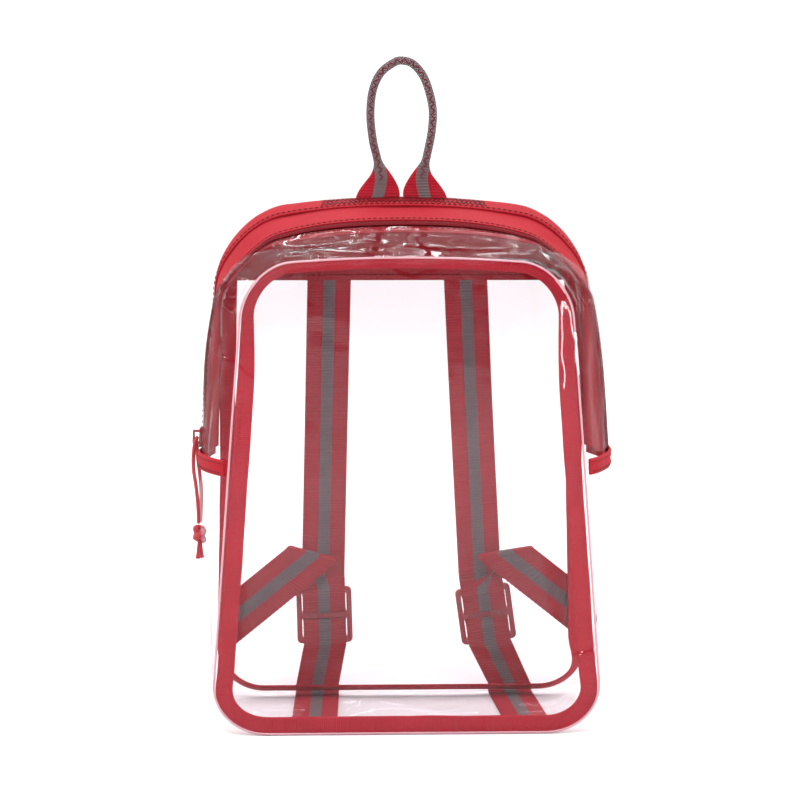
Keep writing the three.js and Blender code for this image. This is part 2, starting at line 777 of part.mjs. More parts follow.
// Seam bindings on the inside of the front and back panels.
addPiece("front_binding", seamBinding(0, gussetStart, gussetStart + bindingThickness), "tape");
addPiece("back_binding", seamBinding(1, gussetEnd - bindingThickness, gussetEnd), "tape");

// Carry loop, straps and buckles.
addPiece("carry_loop", carryLoop(), "webbing");
for (const set of strapSets) {
  addPiece(`shoulder_strap_${set.side}`, shoulderStrap(set), "webbing");
  addPiece(`adjuster_${set.side}`, adjuster(set), "webbing");
  const buckle = addPiece(`buckle_${set.side}`, ladderLock(), "plastic");
  buckle.position.set(set.buckle * backHalfWidth, buckleBack, buckleMiddle);
  buckle.rotation.y = -radians(set.lean);
}

// Slider and pull cord.
const slider = addPiece("zip_slider", zipSlider(), "metal");
slider.applyMatrix4(sliderFrame());
strandPoints.forEach((points, k) => {
  addPiece(`pull_strand_${k + 1}`, pullStrand(points), "cord");
});
addPiece("pull_knot", pullKnot(), "cord");

export default backpack;
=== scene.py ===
# %% [markdown]
# # A clear stadium backpack, dressed over its solids
# The bag is cut from clear PVC film, so that its contents can be looked at, and trimmed with red polyester.
# The solids from the CAD source give every size and place. This file makes each piece again with its folds,
# seams and stitches, and gives it the finish of its real material. Sizes here are typed in millimetres, as a
# sewing pattern gives them, and each piece is turned to metres when it is made.

# %% Load the solids
import math

import bpy
from mathutils import Matrix, Vector, noise


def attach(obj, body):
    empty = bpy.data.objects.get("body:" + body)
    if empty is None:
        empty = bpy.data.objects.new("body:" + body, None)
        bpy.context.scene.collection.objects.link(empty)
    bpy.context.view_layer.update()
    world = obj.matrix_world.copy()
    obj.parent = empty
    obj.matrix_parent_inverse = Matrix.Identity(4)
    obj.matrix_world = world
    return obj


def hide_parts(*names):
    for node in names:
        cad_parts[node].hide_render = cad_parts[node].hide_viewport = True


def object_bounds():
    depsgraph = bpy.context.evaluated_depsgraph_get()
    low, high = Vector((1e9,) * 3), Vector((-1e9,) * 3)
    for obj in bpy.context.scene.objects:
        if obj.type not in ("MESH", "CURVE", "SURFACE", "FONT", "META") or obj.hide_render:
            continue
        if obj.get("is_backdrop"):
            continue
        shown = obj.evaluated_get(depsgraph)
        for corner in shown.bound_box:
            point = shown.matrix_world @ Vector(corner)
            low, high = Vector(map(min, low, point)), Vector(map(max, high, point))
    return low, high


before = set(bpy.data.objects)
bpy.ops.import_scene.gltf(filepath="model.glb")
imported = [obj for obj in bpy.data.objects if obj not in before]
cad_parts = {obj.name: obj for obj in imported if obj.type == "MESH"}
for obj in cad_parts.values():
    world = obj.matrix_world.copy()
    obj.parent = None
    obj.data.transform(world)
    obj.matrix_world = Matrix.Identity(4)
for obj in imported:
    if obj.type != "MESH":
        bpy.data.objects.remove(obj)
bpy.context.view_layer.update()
MM = 0.001

# %% [markdown]
# ## The camera
# A product photograph is taken from far off with a long lens, so that the bag keeps its proportions. This one
# stands 1.4 m away, a little to the left, and looks down by 6 degrees. Its lens of 112 mm on a 36 mm sensor
# gives the photograph's scale, and a shift of half a percent puts the bag where the photograph has it.

# %% Camera
camera_turn, camera_tilt, camera_distance, camera_height = 1.9, 6.0, 1410.7, 330.0
turn = math.radians(camera_turn)
camera_place = Vector((-camera_distance * math.sin(turn), -4 - camera_distance * math.cos(turn), camera_height))
camera = bpy.data.objects.new("camera", bpy.data.cameras.new("camera"))
bpy.context.scene.collection.objects.link(camera)
camera.location = camera_place * MM
camera.rotation_euler = (math.radians(90 - camera_tilt), 0, -turn)
camera.data.sensor_width = 36
camera.data.lens = 112.3
camera.data.shift_x = -0.005
bpy.context.scene.camera = camera
print("camera at", [round(x, 3) for x in camera.location])

# %% [markdown]
# ## One way to lay a piece
# Almost all of the bag is sheet: film, cloth, tape and webbing. Each starts as a grid of faces, as a cloth
# pattern does, whose points are then moved to their places. The grid's UV map is kept as the flat pattern, in
# metres, so a weave has its real size and follows the piece round every bend. Solidify gives the sheet its
# thickness on the inner side.

# %% A grid laid in place
def select(*pieces):
    """Selects these pieces and nothing else, and makes the first one active."""
    bpy.ops.object.select_all(action="DESELECT")
    for piece in pieces:
        piece.select_set(True)
    bpy.context.view_layer.objects.active = pieces[0]


def join(*pieces):
    """Joins the pieces into the first one."""
    select(*pieces)
    bpy.ops.object.join()
    return pieces[0]


def lay_sheet(name, steps, place, flat, heart=None):
    """Adds a grid and moves its points to place(u, v); flat(u, v) is the same point on the flat pattern."""
    bpy.ops.object.select_all(action="DESELECT")
    bpy.ops.mesh.primitive_grid_add(x_subdivisions=steps[0], y_subdivisions=steps[1], size=2)
    piece = bpy.context.active_object
    piece.name = piece.data.name = name
    mesh = piece.data
    shares = [((p.co.x + 1) / 2, (p.co.y + 1) / 2) for p in mesh.vertices]
    patterns = [Vector(flat(u, v)) * MM for u, v in shares]
    for corner, uv in zip(mesh.loops, mesh.uv_layers.active.data):
        uv.uv = patterns[corner.vertex_index]
    for point, (u, v) in zip(mesh.vertices, shares):
        point.co = Vector(place(u, v)) * MM
    mesh.update()
    if heart is not None:
        facing = sum(f.normal.dot(f.center - Vector(heart) * MM) * f.area for f in mesh.polygons)
        if facing < 0:
            mesh.flip_normals()
    return piece


def apply_modifier(piece, kind, **settings):
    """Adds one modifier with its settings and applies it."""
    select(piece)
    modifier = piece.modifiers.new(kind.title(), kind)
    for key, value in settings.items():
        setattr(modifier, key, value)
    bpy.ops.object.modifier_apply(modifier=modifier.name)


def thicken(piece, wall, offset=-1.0):
    """Turns a sheet into a closed wall of that thickness in millimetres."""
    apply_modifier(piece, "SOLIDIFY", thickness=wall * MM, offset=offset, use_even_offset=True)


def smooth(piece, angle=50):
    """Shades the piece smooth, apart from edges sharper than the angle."""
    select(piece)
    bpy.ops.object.shade_smooth_by_angle(angle=math.radians(angle))


def dress(piece, material, replaces=()):
    """Gives a finished piece its material and its place in the model."""
    piece.data.materials.clear()
    piece.data.materials.append(material)
    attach(piece, "root")
    if replaces:
        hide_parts(*replaces)
    print(f"{piece.name}: {len(piece.data.polygons)} faces")
    return piece


# %% [markdown]
# A closed tube is the same grid rolled up: its two long edges are merged, and its ends are filled. Its faces
# are then turned to point outwards, because a rolled grid can come out inside out.

# %% A grid rolled to a tube
def face_outwards(piece, merge=0.0, fill=False):
    """Merges points closer than that, closes the open ends where asked, and turns all faces outwards."""
    select(piece)
    bpy.ops.object.mode_set(mode="EDIT")
    bpy.ops.mesh.select_all(action="SELECT")
    if merge:
        bpy.ops.mesh.remove_doubles(threshold=merge)
    if fill:
        bpy.ops.mesh.fill_holes(sides=0)
    bpy.ops.mesh.select_all(action="SELECT")
    bpy.ops.mesh.normals_make_consistent(inside=False)
    bpy.ops.object.mode_set(mode="OBJECT")


def roll_tube(name, steps, place, flat):
    """A grid whose edges at v = 0 and v = 1 meet, with its two ends closed."""
    piece = lay_sheet(name, steps, place, flat)
    face_outwards(piece, 1e-6, fill=True)
    return piece


def roll_ring(name, steps, place, flat, material, replaces=()):
    """A tube that runs round a whole seam and meets itself, so both pairs of edges are merged."""
    piece = lay_sheet(name, steps, place, flat)
    face_outwards(piece, 2e-6)
    smooth(piece)
    return dress(piece, material, replaces)


def lengths_along(points):
    """How far along the line each of its points is."""
    lengths = [0.0]
    for a, b in zip(points, points[1:]):
        lengths.append(lengths[-1] + (b - a).length)
    return lengths


def measured_out(lengths, count):
    """For each of that many even steps along a line: the stretch that it is on, and its share of the stretch."""
    k = 0
    for step in range(count):
        at = lengths[-1] * step / (count - 1)
        while k < len(lengths) - 2 and lengths[k + 1] < at:
            k += 1
        yield k, min(1, (at - lengths[k]) / max(1e-9, lengths[k + 1] - lengths[k]))


def smooth_line(points, count):
    """Evenly spaced points on a smooth curve through the given ones."""
    ends = [points[0] * 2 - points[1], *points, points[-1] * 2 - points[-2]]
    dense = []
    for a, b, c, d in zip(ends, ends[1:], ends[2:], ends[3:]):
        for k in range(24):
            t = k / 24
            dense.append(0.5 * (2 * b + (c - a) * t + (2 * a - 5 * b + 4 * c - d) * t * t
                                + (3 * b - a - 3 * c + d) * t ** 3))
    dense.append(points[-1])
    return even_points(dense, count)


def even_points(points, count):
    """The given line, measured out again in steps of one length."""
    return [points[k].lerp(points[k + 1], share) for k, share in measured_out(lengths_along(points), count)]


def line_length(points):
    return lengths_along(points)[-1]


def round_tube(name, line, radius, sides=12):
    """A round tube along a line of points. radius is a number or a function of the share along it."""
    thick = radius if callable(radius) else (lambda share: radius)
    turns = []
    side = Vector((0, 1, 0))
    for i, point in enumerate(line):
        along = (line[min(i + 1, len(line) - 1)] - line[max(i - 1, 0)]).normalized()
        side = (side - along * side.dot(along)).normalized()
        turns.append((point, side.copy(), along.cross(side)))
    last = len(line) - 1

    def place(u, v):
        centre, a, b = turns[round(u * last)]
        angle = 2 * math.pi * v
        return centre + (a * math.cos(angle) + b * math.sin(angle)) * thick(u)

    total = line_length(line)
    girth = 2 * math.pi * thick(0.5)
    return roll_tube(name, (last, sides), place, lambda u, v: (u * total, v * girth))


# %% [markdown]
# ## Colours and material nodes
# Colours are given as the hex values that a screen shows, and one function turns them to the linear
# values that the renderer works with. One more adds any node, with its settings, values and links.

# %% Colour and node helpers
def colour(code):
    """The linear colour of an sRGB hex value such as D8404C."""
    shares = [int(code[k:k + 2], 16) / 255 for k in (0, 2, 4)]
    return (*[s / 12.92 if s <= 0.04045 else ((s + 0.055) / 1.055) ** 2.4 for s in shares], 1.0)


def new_material(name):
    """An empty node material, its tree and its output node."""
    material = bpy.data.materials.new(name)
    material.use_nodes = True
    material.node_tree.nodes.clear()
    return material, material.node_tree, material.node_tree.nodes.new("ShaderNodeOutputMaterial")


def add_node(tree, kind, settings=None, **inputs):
    """Adds a node. An input is a value, or an output of another node to link. i0, i1 name inputs by number."""
    made = tree.nodes.new(kind)
    for key, value in (settings or {}).items():
        setattr(made, key, value)
    for key, value in inputs.items():
        key = int(key[1:]) if key[0] == "i" and key[1:].isdigit() else key.replace("_", " ")
        if isinstance(value, bpy.types.NodeSocket):
            tree.links.new(value, made.inputs[key])
        else:
            made.inputs[key].default_value = value
    return made


def maths(tree, operation, a, b=0.0, c=0.0):
    """One sum, as a node, giving its output."""
    return add_node(tree, "ShaderNodeMath", {"operation": operation}, i0=a, i1=b, i2=c).outputs[0]


def waves(tree, value, pitch, phase=0.0):
    """A wave from 0 to 1 with that pitch in millimetres, along a coordinate in metres."""
    turns = maths(tree, "MULTIPLY", value, 2 * math.pi / (pitch * MM))
    return maths(tree, "MULTIPLY_ADD", maths(tree, "SINE", maths(tree, "ADD", turns, phase)), 0.5, 0.5)


def blend_colours(tree, factor, a, b):
    """Two colours mixed by a factor, giving the mixed colour."""
    made = tree.nodes.new("ShaderNodeMix")
    made.data_type = "RGBA"
    for socket, value in ((made.inputs[0], factor), (made.inputs[6], a), (made.inputs[7], b)):
        if isinstance(value, bpy.types.NodeSocket):
            tree.links.new(value, socket)
        else:
            socket.default_value = value
    return made.outputs[2]


def flat_pattern(tree):
    """The two coordinates of the piece's flat pattern, in metres."""
    split = add_node(tree, "ShaderNodeSeparateXYZ", Vector=tree.nodes.new("ShaderNodeUVMap").outputs[0])
    return split.outputs[0], split.outputs[1]


def solid_place(tree):
    """The place in the bag, in metres."""
    return tree.nodes.new("ShaderNodeTexCoord").outputs["Object"]

# %% [markdown]
# ## The clear film
# The film is plasticised PVC, calendered to a gloss and about half a millimetre thick. The eye sees it by what
# it does to light: it takes a little of what comes through, mirrors the lamps at every fold, and turns milky at
# grazing angles. So each face lets most light straight through, hardly tinted, and a glossy mirror is mixed in
# that grows as the face turns edge-on to the eye. Two bumps break that mirror up: the broad waves of film that
# was rolled, and the fine marks where it was creased. Film bends light so little that it is drawn without
# refraction.

# %% Clear PVC film
def clear_film(name, tint, crease_height):
    material, tree, output = new_material(name)
    place = solid_place(tree)
    broad = add_node(tree, "ShaderNodeTexNoise", Vector=place, Scale=26.0, Detail=2.0, Roughness=0.45)
    bent = add_node(tree, "ShaderNodeVectorMath", {"operation": "MULTIPLY_ADD"},
                    i0=broad.outputs["Color"], i1=(0.03, 0.03, 0.03), i2=place)
    cells = add_node(tree, "ShaderNodeTexVoronoi", {"feature": "DISTANCE_TO_EDGE"},
                     Vector=bent.outputs[0], Scale=17.0)
    crease = add_node(tree, "ShaderNodeMapRange", {"interpolation_type": "SMOOTHSTEP"},
                      Value=cells.outputs["Distance"], From_Min=0.0, From_Max=0.05, To_Min=1.0, To_Max=0.0)
    patches = add_node(tree, "ShaderNodeTexNoise", Vector=place, Scale=14.0, Detail=1.0)
    held = add_node(tree, "ShaderNodeMapRange", Value=patches.outputs["Fac"], From_Min=0.52, From_Max=0.66)
    marks = maths(tree, "MULTIPLY", crease.outputs[0], held.outputs[0])
    rolled = add_node(tree, "ShaderNodeBump", Strength=1.0, Distance=0.9 * MM, Height=broad.outputs["Fac"])
    bump = add_node(tree, "ShaderNodeBump", Strength=1.0, Distance=crease_height * MM, Height=marks,
                    Normal=rolled.outputs[0])
    facing = add_node(tree, "ShaderNodeLayerWeight", Blend=0.5, Normal=bump.outputs[0]).outputs["Facing"]
    mirror = maths(tree, "MULTIPLY_ADD", maths(tree, "POWER", facing, 5.0), 0.1, 0.012)
    clear = add_node(tree, "ShaderNodeBsdfTransparent", Color=colour(tint))
    gloss = add_node(tree, "ShaderNodeBsdfGlossy", Color=(1, 1, 1, 1), Roughness=0.03, Normal=bump.outputs[0])
    mixed = add_node(tree, "ShaderNodeMixShader", i0=mirror, i1=clear.outputs[0],
                     i2=gloss.outputs[0])
    tree.links.new(mixed.outputs[0], output.inputs["Surface"])
    return material


film = clear_film("clear PVC film", "FCFAFB", 0.25)
creased_film = clear_film("clear PVC film, creased", "FCFAFB", 0.6)
print("film materials:", film.name, "/", creased_film.name)

# %% [markdown]
# ## The woven polyester
# The cloth is 600 denier polyester in a twill: thick filament yarns that step over each other, which shows as
# fine diagonal ribs. Dyed filament has a soft sheen when it is seen from the side. The real ribs are 0.6 mm
# apart, too fine for the picture, and are drawn 1.1 mm apart.

# %% Polyester twill
def polyester_twill(name, light, dark):
    material, tree, output = new_material(name)
    along, across = flat_pattern(tree)
    rib = waves(tree, maths(tree, "ADD", along, across), 1.1)
    step = waves(tree, maths(tree, "SUBTRACT", along, across), 0.9)
    weave = maths(tree, "ADD", maths(tree, "MULTIPLY", rib, 0.7), maths(tree, "MULTIPLY", step, 0.3))
    cloud = add_node(tree, "ShaderNodeTexNoise", Vector=solid_place(tree), Scale=40.0, Detail=3.0)
    tone = maths(tree, "ADD", maths(tree, "MULTIPLY", weave, 0.6), maths(tree, "MULTIPLY", cloud.outputs[0], 0.4))
    base = blend_colours(tree, tone, colour(dark), colour(light))
    bump = add_node(tree, "ShaderNodeBump", Strength=0.6, Distance=0.16 * MM, Height=weave)
    shader = add_node(tree, "ShaderNodeBsdfPrincipled", Base_Color=base, Roughness=0.85, Sheen_Weight=0.03,
                      Sheen_Roughness=0.4, Specular_IOR_Level=0.12, Normal=bump.outputs[0])
    tree.links.new(shader.outputs[0], output.inputs["Surface"])
    return material


twill = polyester_twill("red polyester twill", "B02230", "90161F")
print("cloth material:", twill.name)

# %% [markdown]
# ## Tape and webbing
# Both are narrow weaves. Binding and zip tape are a plain ribbed weave, whose ribs run straight across. Webbing
# is far thicker: its ribs are 1.7 mm apart, with rows of warp loops along it. A stripe of reflective yarn,
# 7 mm wide, runs down its middle, grey with light flecks where the yarn turns over.

# %% Binding tape
def ribbed_tape(name, light, dark, pitch):
    material, tree, output = new_material(name)
    along, _ = flat_pattern(tree)
    rib = waves(tree, along, pitch)
    cloud = add_node(tree, "ShaderNodeTexNoise", Vector=solid_place(tree), Scale=60.0, Detail=3.0)
    tone = maths(tree, "ADD", maths(tree, "MULTIPLY", rib, 0.55), maths(tree, "MULTIPLY", cloud.outputs[0], 0.45))
    base = blend_colours(tree, tone, colour(dark), colour(light))
    bump = add_node(tree, "ShaderNodeBump", Strength=0.7, Distance=0.18 * MM, Height=rib)
    shader = add_node(tree, "ShaderNodeBsdfPrincipled", Base_Color=base, Roughness=0.8, Sheen_Weight=0.02,
                      Specular_IOR_Level=0.12, Normal=bump.outputs[0])
    tree.links.new(shader.outputs[0], output.inputs["Surface"])
    return material


binding_tape = ribbed_tape("red grosgrain tape", "B62435", "8C1622", 1.2)
zip_cloth = ribbed_tape("red zip tape", "9C1F2C", "78121D", 1.0)
print("tape materials:", binding_tape.name, "/", zip_cloth.name)

# %% Striped webbing
def striped_webbing(name, light, dark, stripe_half=3.5):
    material, tree, output = new_material(name)
    along, across = flat_pattern(tree)
    rib = waves(tree, along, 1.7)
    shifted = maths(tree, "ADD", along, maths(tree, "MULTIPLY", waves(tree, across, 1.6), 0.85 * MM))
    loops = maths(tree, "MULTIPLY", waves(tree, shifted, 1.7), waves(tree, across, 0.8))
    weave = maths(tree, "ADD", maths(tree, "MULTIPLY", rib, 0.65), maths(tree, "MULTIPLY", loops, 0.35))
    cloud = add_node(tree, "ShaderNodeTexNoise", Vector=solid_place(tree), Scale=90.0, Detail=3.0)
    tone = maths(tree, "ADD", maths(tree, "MULTIPLY", weave, 0.6), maths(tree, "MULTIPLY", cloud.outputs[0], 0.4))
    red = blend_colours(tree, tone, colour(dark), colour(light))
    yarn = maths(tree, "GREATER_THAN", maths(tree, "ADD", loops, maths(tree, "MULTIPLY", cloud.outputs[0], 0.4)), 0.5)
    grey = blend_colours(tree, yarn, colour("54474A"), colour("8A7A7C"))
    stripe = maths(tree, "LESS_THAN", maths(tree, "ABSOLUTE", across), stripe_half * MM)
    base = blend_colours(tree, stripe, red, grey)
    bump = add_node(tree, "ShaderNodeBump", Strength=0.8, Distance=0.3 * MM, Height=weave)
    shader = add_node(tree, "ShaderNodeBsdfPrincipled", Base_Color=base, Roughness=0.75, Sheen_Weight=0.02,
                      Specular_IOR_Level=0.12, Normal=bump.outputs[0])
    tree.links.new(shader.outputs[0], output.inputs["Surface"])
    return material


webbing = striped_webbing("red polyester webbing with a reflective stripe", "B82030", "8A1321")
print("webbing material:", webbing.name)

# %% [markdown]
# ## Plastic, metal and thread
# The buckles are moulded acetal, a slippery nylon-like plastic with a satin face. The zip's coil is nylon
# monofilament, darker than the cloth and nearly matt. The slider is die-cast zinc with red baked paint. Thread and
# cord are twisted and braided polyester.

# %% Moulded plastic, coil, paint, thread and cord
def plain_finish(name, light, dark, roughness, grain, depth, coat=0.0, gloss=0.5):
    """A moulded or painted finish: a slightly clouded colour over a fine grain of that size in millimetres."""
    material, tree, output = new_material(name)
    place = solid_place(tree)
    cloud = add_node(tree, "ShaderNodeTexNoise", Vector=place, Scale=70.0, Detail=2.0)
    base = blend_colours(tree, cloud.outputs[0], colour(dark), colour(light))
    skin = add_node(tree, "ShaderNodeTexNoise", Vector=place, Scale=1000.0 / grain, Detail=2.0)
    bump = add_node(tree, "ShaderNodeBump", Strength=0.5, Distance=depth * MM, Height=skin.outputs[0])
    shader = add_node(tree, "ShaderNodeBsdfPrincipled", Base_Color=base, Roughness=roughness,
                      Coat_Weight=coat, Specular_IOR_Level=gloss, Normal=bump.outputs[0])
    tree.links.new(shader.outputs[0], output.inputs["Surface"])
    return material


def twisted_yarn(name, light, dark, pitch):
    """Yarns laid in a slope round a cord or thread, that far apart in millimetres."""
    material, tree, output = new_material(name)
    along, around = flat_pattern(tree)
    one = waves(tree, maths(tree, "ADD", along, around), pitch)
    other = waves(tree, maths(tree, "SUBTRACT", along, around), pitch)
    braid = maths(tree, "MAXIMUM", one, other)
    base = blend_colours(tree, braid, colour(dark), colour(light))
    bump = add_node(tree, "ShaderNodeBump", Strength=0.8, Distance=0.2 * MM, Height=braid)
    shader = add_node(tree, "ShaderNodeBsdfPrincipled", Base_Color=base, Roughness=0.7, Sheen_Weight=0.2,
                      Normal=bump.outputs[0])
    tree.links.new(shader.outputs[0], output.inputs["Surface"])
    return material


acetal = plain_finish("red moulded acetal", "AE2532", "981C28", 0.36, 0.5, 0.05)
nylon_coil = plain_finish("dark red nylon coil", "7A0E1A", "520711", 0.6, 0.4, 0.03, gloss=0.1)
painted_zinc = plain_finish("red painted zinc", "961622", "7E101A", 0.32, 0.3, 0.02, coat=0.5)
thread = plain_finish("red polyester thread", "7A0F1C", "5A0812", 0.6, 0.3, 0.05, gloss=0.15)
dark_thread = plain_finish("dark red polyester thread", "50080F", "34050A", 0.6, 0.3, 0.05, gloss=0.15)
# Painted highlight: the film's edge is drawn opaque and pale pink, standing for the lamps caught along it.
film_edge = plain_finish("PVC film edge, pale pink with painted highlight", "DBA9B0", "CC949D", 0.2, 0.4, 0.02)
braid = twisted_yarn("red braided cord", "C02A38", "7C101C", 1.3)
small_finishes = (acetal, nylon_coil, painted_zinc, thread, dark_thread, film_edge, braid)
print("small materials:", [finish.name for finish in small_finishes])

# %% [markdown]
# ## The pull cord comes first
# A loop of thin braided cord is knotted through the zip's slider, so that a gloved hand can find it. It is
# limp: two strands leave the slider's bridge, lean forwards over it and hang down the side of the bag, until
# they meet in an overhand knot. Both lengths can be followed in the photograph, so nothing of them is hidden.

# %% Two strands
cord_diameter = 2.2
strand_points = [
    [(-117.8, -2.6, 159.9), (-118.4, -4.6, 159.0), (-119.2, -5.0, 155.0), (-119.8, -3.0, 148.5),
     (-119.9, 1.5, 141.0), (-119.2, 8.5, 132.5), (-118.7, 14.8, 124.0), (-118.4, 19.6, 115.5),
     (-118.3, 22.2, 107.6)],
    [(-117.8, 1.2, 159.9), (-118.3, 3.6, 159.2), (-118.3, 6.4, 155.0), (-118.0, 10.0, 148.0),
     (-117.4, 14.4, 140.0), (-116.8, 19.2, 131.5), (-116.8, 23.6, 122.5), (-117.2, 26.6, 114.5),
     (-117.6, 27.6, 107.6)],
]
strand_lines = [smooth_line([Vector(p) for p in points], 60) for points in strand_points]
strands = []
for k, line in enumerate(strand_lines, 1):
    strand = round_tube(f"cord_strand_{k}", line, cord_diameter / 2, 12)
    smooth(strand)
    strands.append(dress(strand, braid, [f"pull_strand_{k}"]))
    print(f"strand {k} is {line_length(line):.1f} mm long")

# %% The knot and its two tails
# An overhand knot drawn tight has the path of a trefoil: the cord goes through its own loop once.
knot_place = Vector((-118.0, 25.0, 100.6))


def trefoil(share):
    angle = 2 * math.pi * share
    x = math.sin(angle) + 2 * math.sin(2 * angle)
    y = math.cos(angle) - 2 * math.cos(2 * angle)
    return knot_place + Vector((-2.3 * math.sin(3 * angle), 1.12 * y, 1.42 * x))


knot_line = even_points([trefoil(k / 160) for k in range(161)], 120)
knot = round_tube("cord_knot", knot_line, 1.7, 12)
smooth(knot)
tails = []
for side in (-1, 1):
    drops = [Vector((side * d * 0.8, side * d * 1.7, -3.2 - d * 7.2)) for d in (0, 0.5, 1.05, 1.5)]
    line = smooth_line([knot_place + drop for drop in drops], 16)
    tail = round_tube(f"knot_tail_{side}", line, lambda share: 1.1 + 0.35 * max(0, share - 0.8) * 5, 12)
    smooth(tail)
    tails.append(tail)
join(knot, *tails)
dress(knot, braid, ["pull_knot"])
for k, (strand, line) in enumerate(zip(strands, strand_lines)):
    line_length(line) * MM
    [p * MM for p in line]

# %% [markdown]
# ## The shape of the bag
# Seen from the front, the bag's outline is wider below and rounded at all four corners, and it grows from the
# front seam to the back seam, which stands higher. These are the sizes of the solids, with the same names. Only
# the upper corners of the front seam are tighter here, with a radius of 30 mm instead of 48 mm. A place on the
# side wall is given by how far round the outline it is, in twelve stretches that start at the middle of the
# base, and by its share of the depth.

# %% Sizes of the bag
body_depth, front_height, back_height = 102.0, 266.0, 295.0
front_half_width, back_half_width, front_taper, back_taper = 100.0, 108.5, 20.0, 7.0
front_top_radius, back_top_radius, bottom_radius = 30.0, 40.0, 30.0
front_arch, back_arch, side_swell, swell_peak, top_swell, front_crown = 5.0, 11.0, 12.5, 0.42, 0.5, 5.0
yoke_height, band_height, vinyl_wall, cloth_wall, gap = 48.0, 150.0, 1.0, 1.2, 0.3
webbing_width, webbing_thickness, buckle_thickness, fold_radius = 25.4, 1.6, 3.2, 1.4
stand_lift = webbing_thickness + gap
strap_reach = 4 * gap + 4.5 * webbing_thickness + 2 * fold_radius + buckle_thickness
depth_shift = (front_crown - strap_reach) / 2
front_face, back_face = depth_shift - body_depth / 2, depth_shift + body_depth / 2
gusset_start, gusset_end = front_face + vinyl_wall + gap, back_face - vinyl_wall - gap
gusset_depth = gusset_end - gusset_start
heart = (0, depth_shift, 140)
print("the side wall runs from", round(gusset_start, 1), "to", round(gusset_end, 1), "mm")

# Main folds and dents of the side wall: place round the outline, share of the depth, their spans, and the dent
# as a share of the side swell. The solids have all but the last two, the sags of film at the upper corners.
wall_folds = [
    (2.2, 0.32, 0.5, 0.14, 0.24), (2.7, 0.66, 0.45, 0.16, -0.16), (3.5, 0.2, 0.45, 0.1, 0.2),
    (4.5, 0.3, 0.4, 0.12, -0.2), (5.6, 0.24, 0.5, 0.1, 0.22), (6.7, 0.3, 0.5, 0.1, 0.24),
    (7.5, 0.28, 0.4, 0.12, -0.2), (8.3, 0.22, 0.4, 0.1, 0.22), (8.85, 0.66, 0.3, 0.16, 0.26),
    (9.6, 0.6, 0.3, 0.16, -0.16), (9.8, 0.34, 0.5, 0.14, 0.26),
    (4.5, 0.56, 0.6, 0.26, 0.8), (7.5, 0.56, 0.6, 0.26, 0.8),
]

# %% The outline at any depth
def mix(a, b, share):
    return a + (b - a) * share


def ease(share):
    held = min(1.0, max(0.0, share))
    return held * held * (3 - 2 * held)


def section_sizes(depth):
    """Half width, top, bottom, top radius, taper, arch and sideways swell at a share of the depth."""
    swell = math.sin(math.pi * depth ** (math.log(0.5) / math.log(swell_peak)))
    return (mix(front_half_width, back_half_width, depth),
            mix(front_height, back_height, depth) + top_swell * swell,
            stand_lift * ease(depth * 5), mix(front_top_radius, back_top_radius, depth),
            mix(front_taper, back_taper, depth), mix(front_arch, back_arch, depth), side_swell * swell)


def half_outline(depth, around):
    """A point (x, z) of the right half: base, lower corner, side below and above the band, upper corner, top."""
    half, top, bottom, top_radius, taper, arch, sideways = section_sizes(depth)
    piece = min(5, int(around))
    share = around - piece
    angle = share * math.pi / 2
    x, z = half, bottom
    if piece == 0:
        x = share * (half - bottom_radius)
    elif piece == 1:
        x = half - bottom_radius + bottom_radius * math.sin(angle)
        z = bottom + bottom_radius - bottom_radius * math.cos(angle)
    elif piece == 2:
        z = mix(bottom + bottom_radius, band_height, share)
    elif piece == 3:
        z = mix(band_height, top - top_radius, share)
    elif piece == 4:
        x = half - top_radius + top_radius * math.cos(angle)
        z = top - top_radius + top_radius * math.sin(angle)
    else:
        x, z = (1 - share) * (half - top_radius), top
    rise = (z - bottom) / (top - bottom)
    stretch = (half + taper * (0.5 - rise) + sideways * ease(rise / 0.5)) / half
    return x * stretch, z - arch * (x / half) ** 2 * ease((rise - 0.6) / 0.4)


def outline(depth, around):
    """The whole outline, around from 0 to 12, with the left half as the mirror image of the right half."""
    place = around % 12
    if place <= 6:
        return half_outline(depth, place)
    x, z = half_outline(depth, 12 - place)
    return -x, z


def fold_depth(around, depth):
    """How far the main folds push the wall inwards at one place."""
    place = around % 12
    total = sum(dent * side_swell * math.exp(-((place - a) / a_span) ** 2 - ((depth - d) / d_span) ** 2)
                for a, d, a_span, d_span, dent in wall_folds)
    return total * ease(depth * 8) * ease((1 - depth) * 8)


def wall_base(around, depth):
    x, z = outline(min(1.0, max(0.0, depth)), around)
    return Vector((x, mix(gusset_start, gusset_end, depth), z))


def wall_normal(around, depth):
    back = wall_base(around, min(1, depth + 0.004))
    front = wall_base(around, max(0, depth - 0.004))
    along = wall_base(around + 0.004, depth) - wall_base(around - 0.004, depth)
    return (back - front).cross(along).normalized()


def wall_point(around, depth, offset):
    """A point of the side wall, offset outwards from its outer face."""
    return wall_base(around, depth) + wall_normal(around, depth) * (offset - fold_depth(around, depth))


def evenly_round(start, end, depth):
    """The length of a stretch of the outline, and the place round it at each share of that length."""
    count = 480
    places = [mix(start, end, k / count) for k in range(count + 1)]
    lengths = lengths_along([wall_base(a, depth) for a in places])

    def place_at(share):
        target = share * lengths[-1]
        low, high = 0, count
        while high - low > 1:
            middle = (low + high) // 2
            low, high = (middle, high) if lengths[middle] <= target else (low, middle)
        span = lengths[high] - lengths[low]
        return mix(places[low], places[high], (target - lengths[low]) / span if span else 0)

    return lengths[-1], place_at


print("outline at the front seam, middle of the side:", [round(x, 1) for x in outline(0, 3)])

# %% [markdown]
# ## The clear panels
# The front panel is flat film, pulled into a slight crown by the wall that it is sewn to. Film that was folded
# flat in its box keeps soft waves, and its folds leave thin sharp lines that never quite go. Both are moved
# into the grid itself: a ridge where smooth noise crosses zero makes a crease, as crumpled film has.

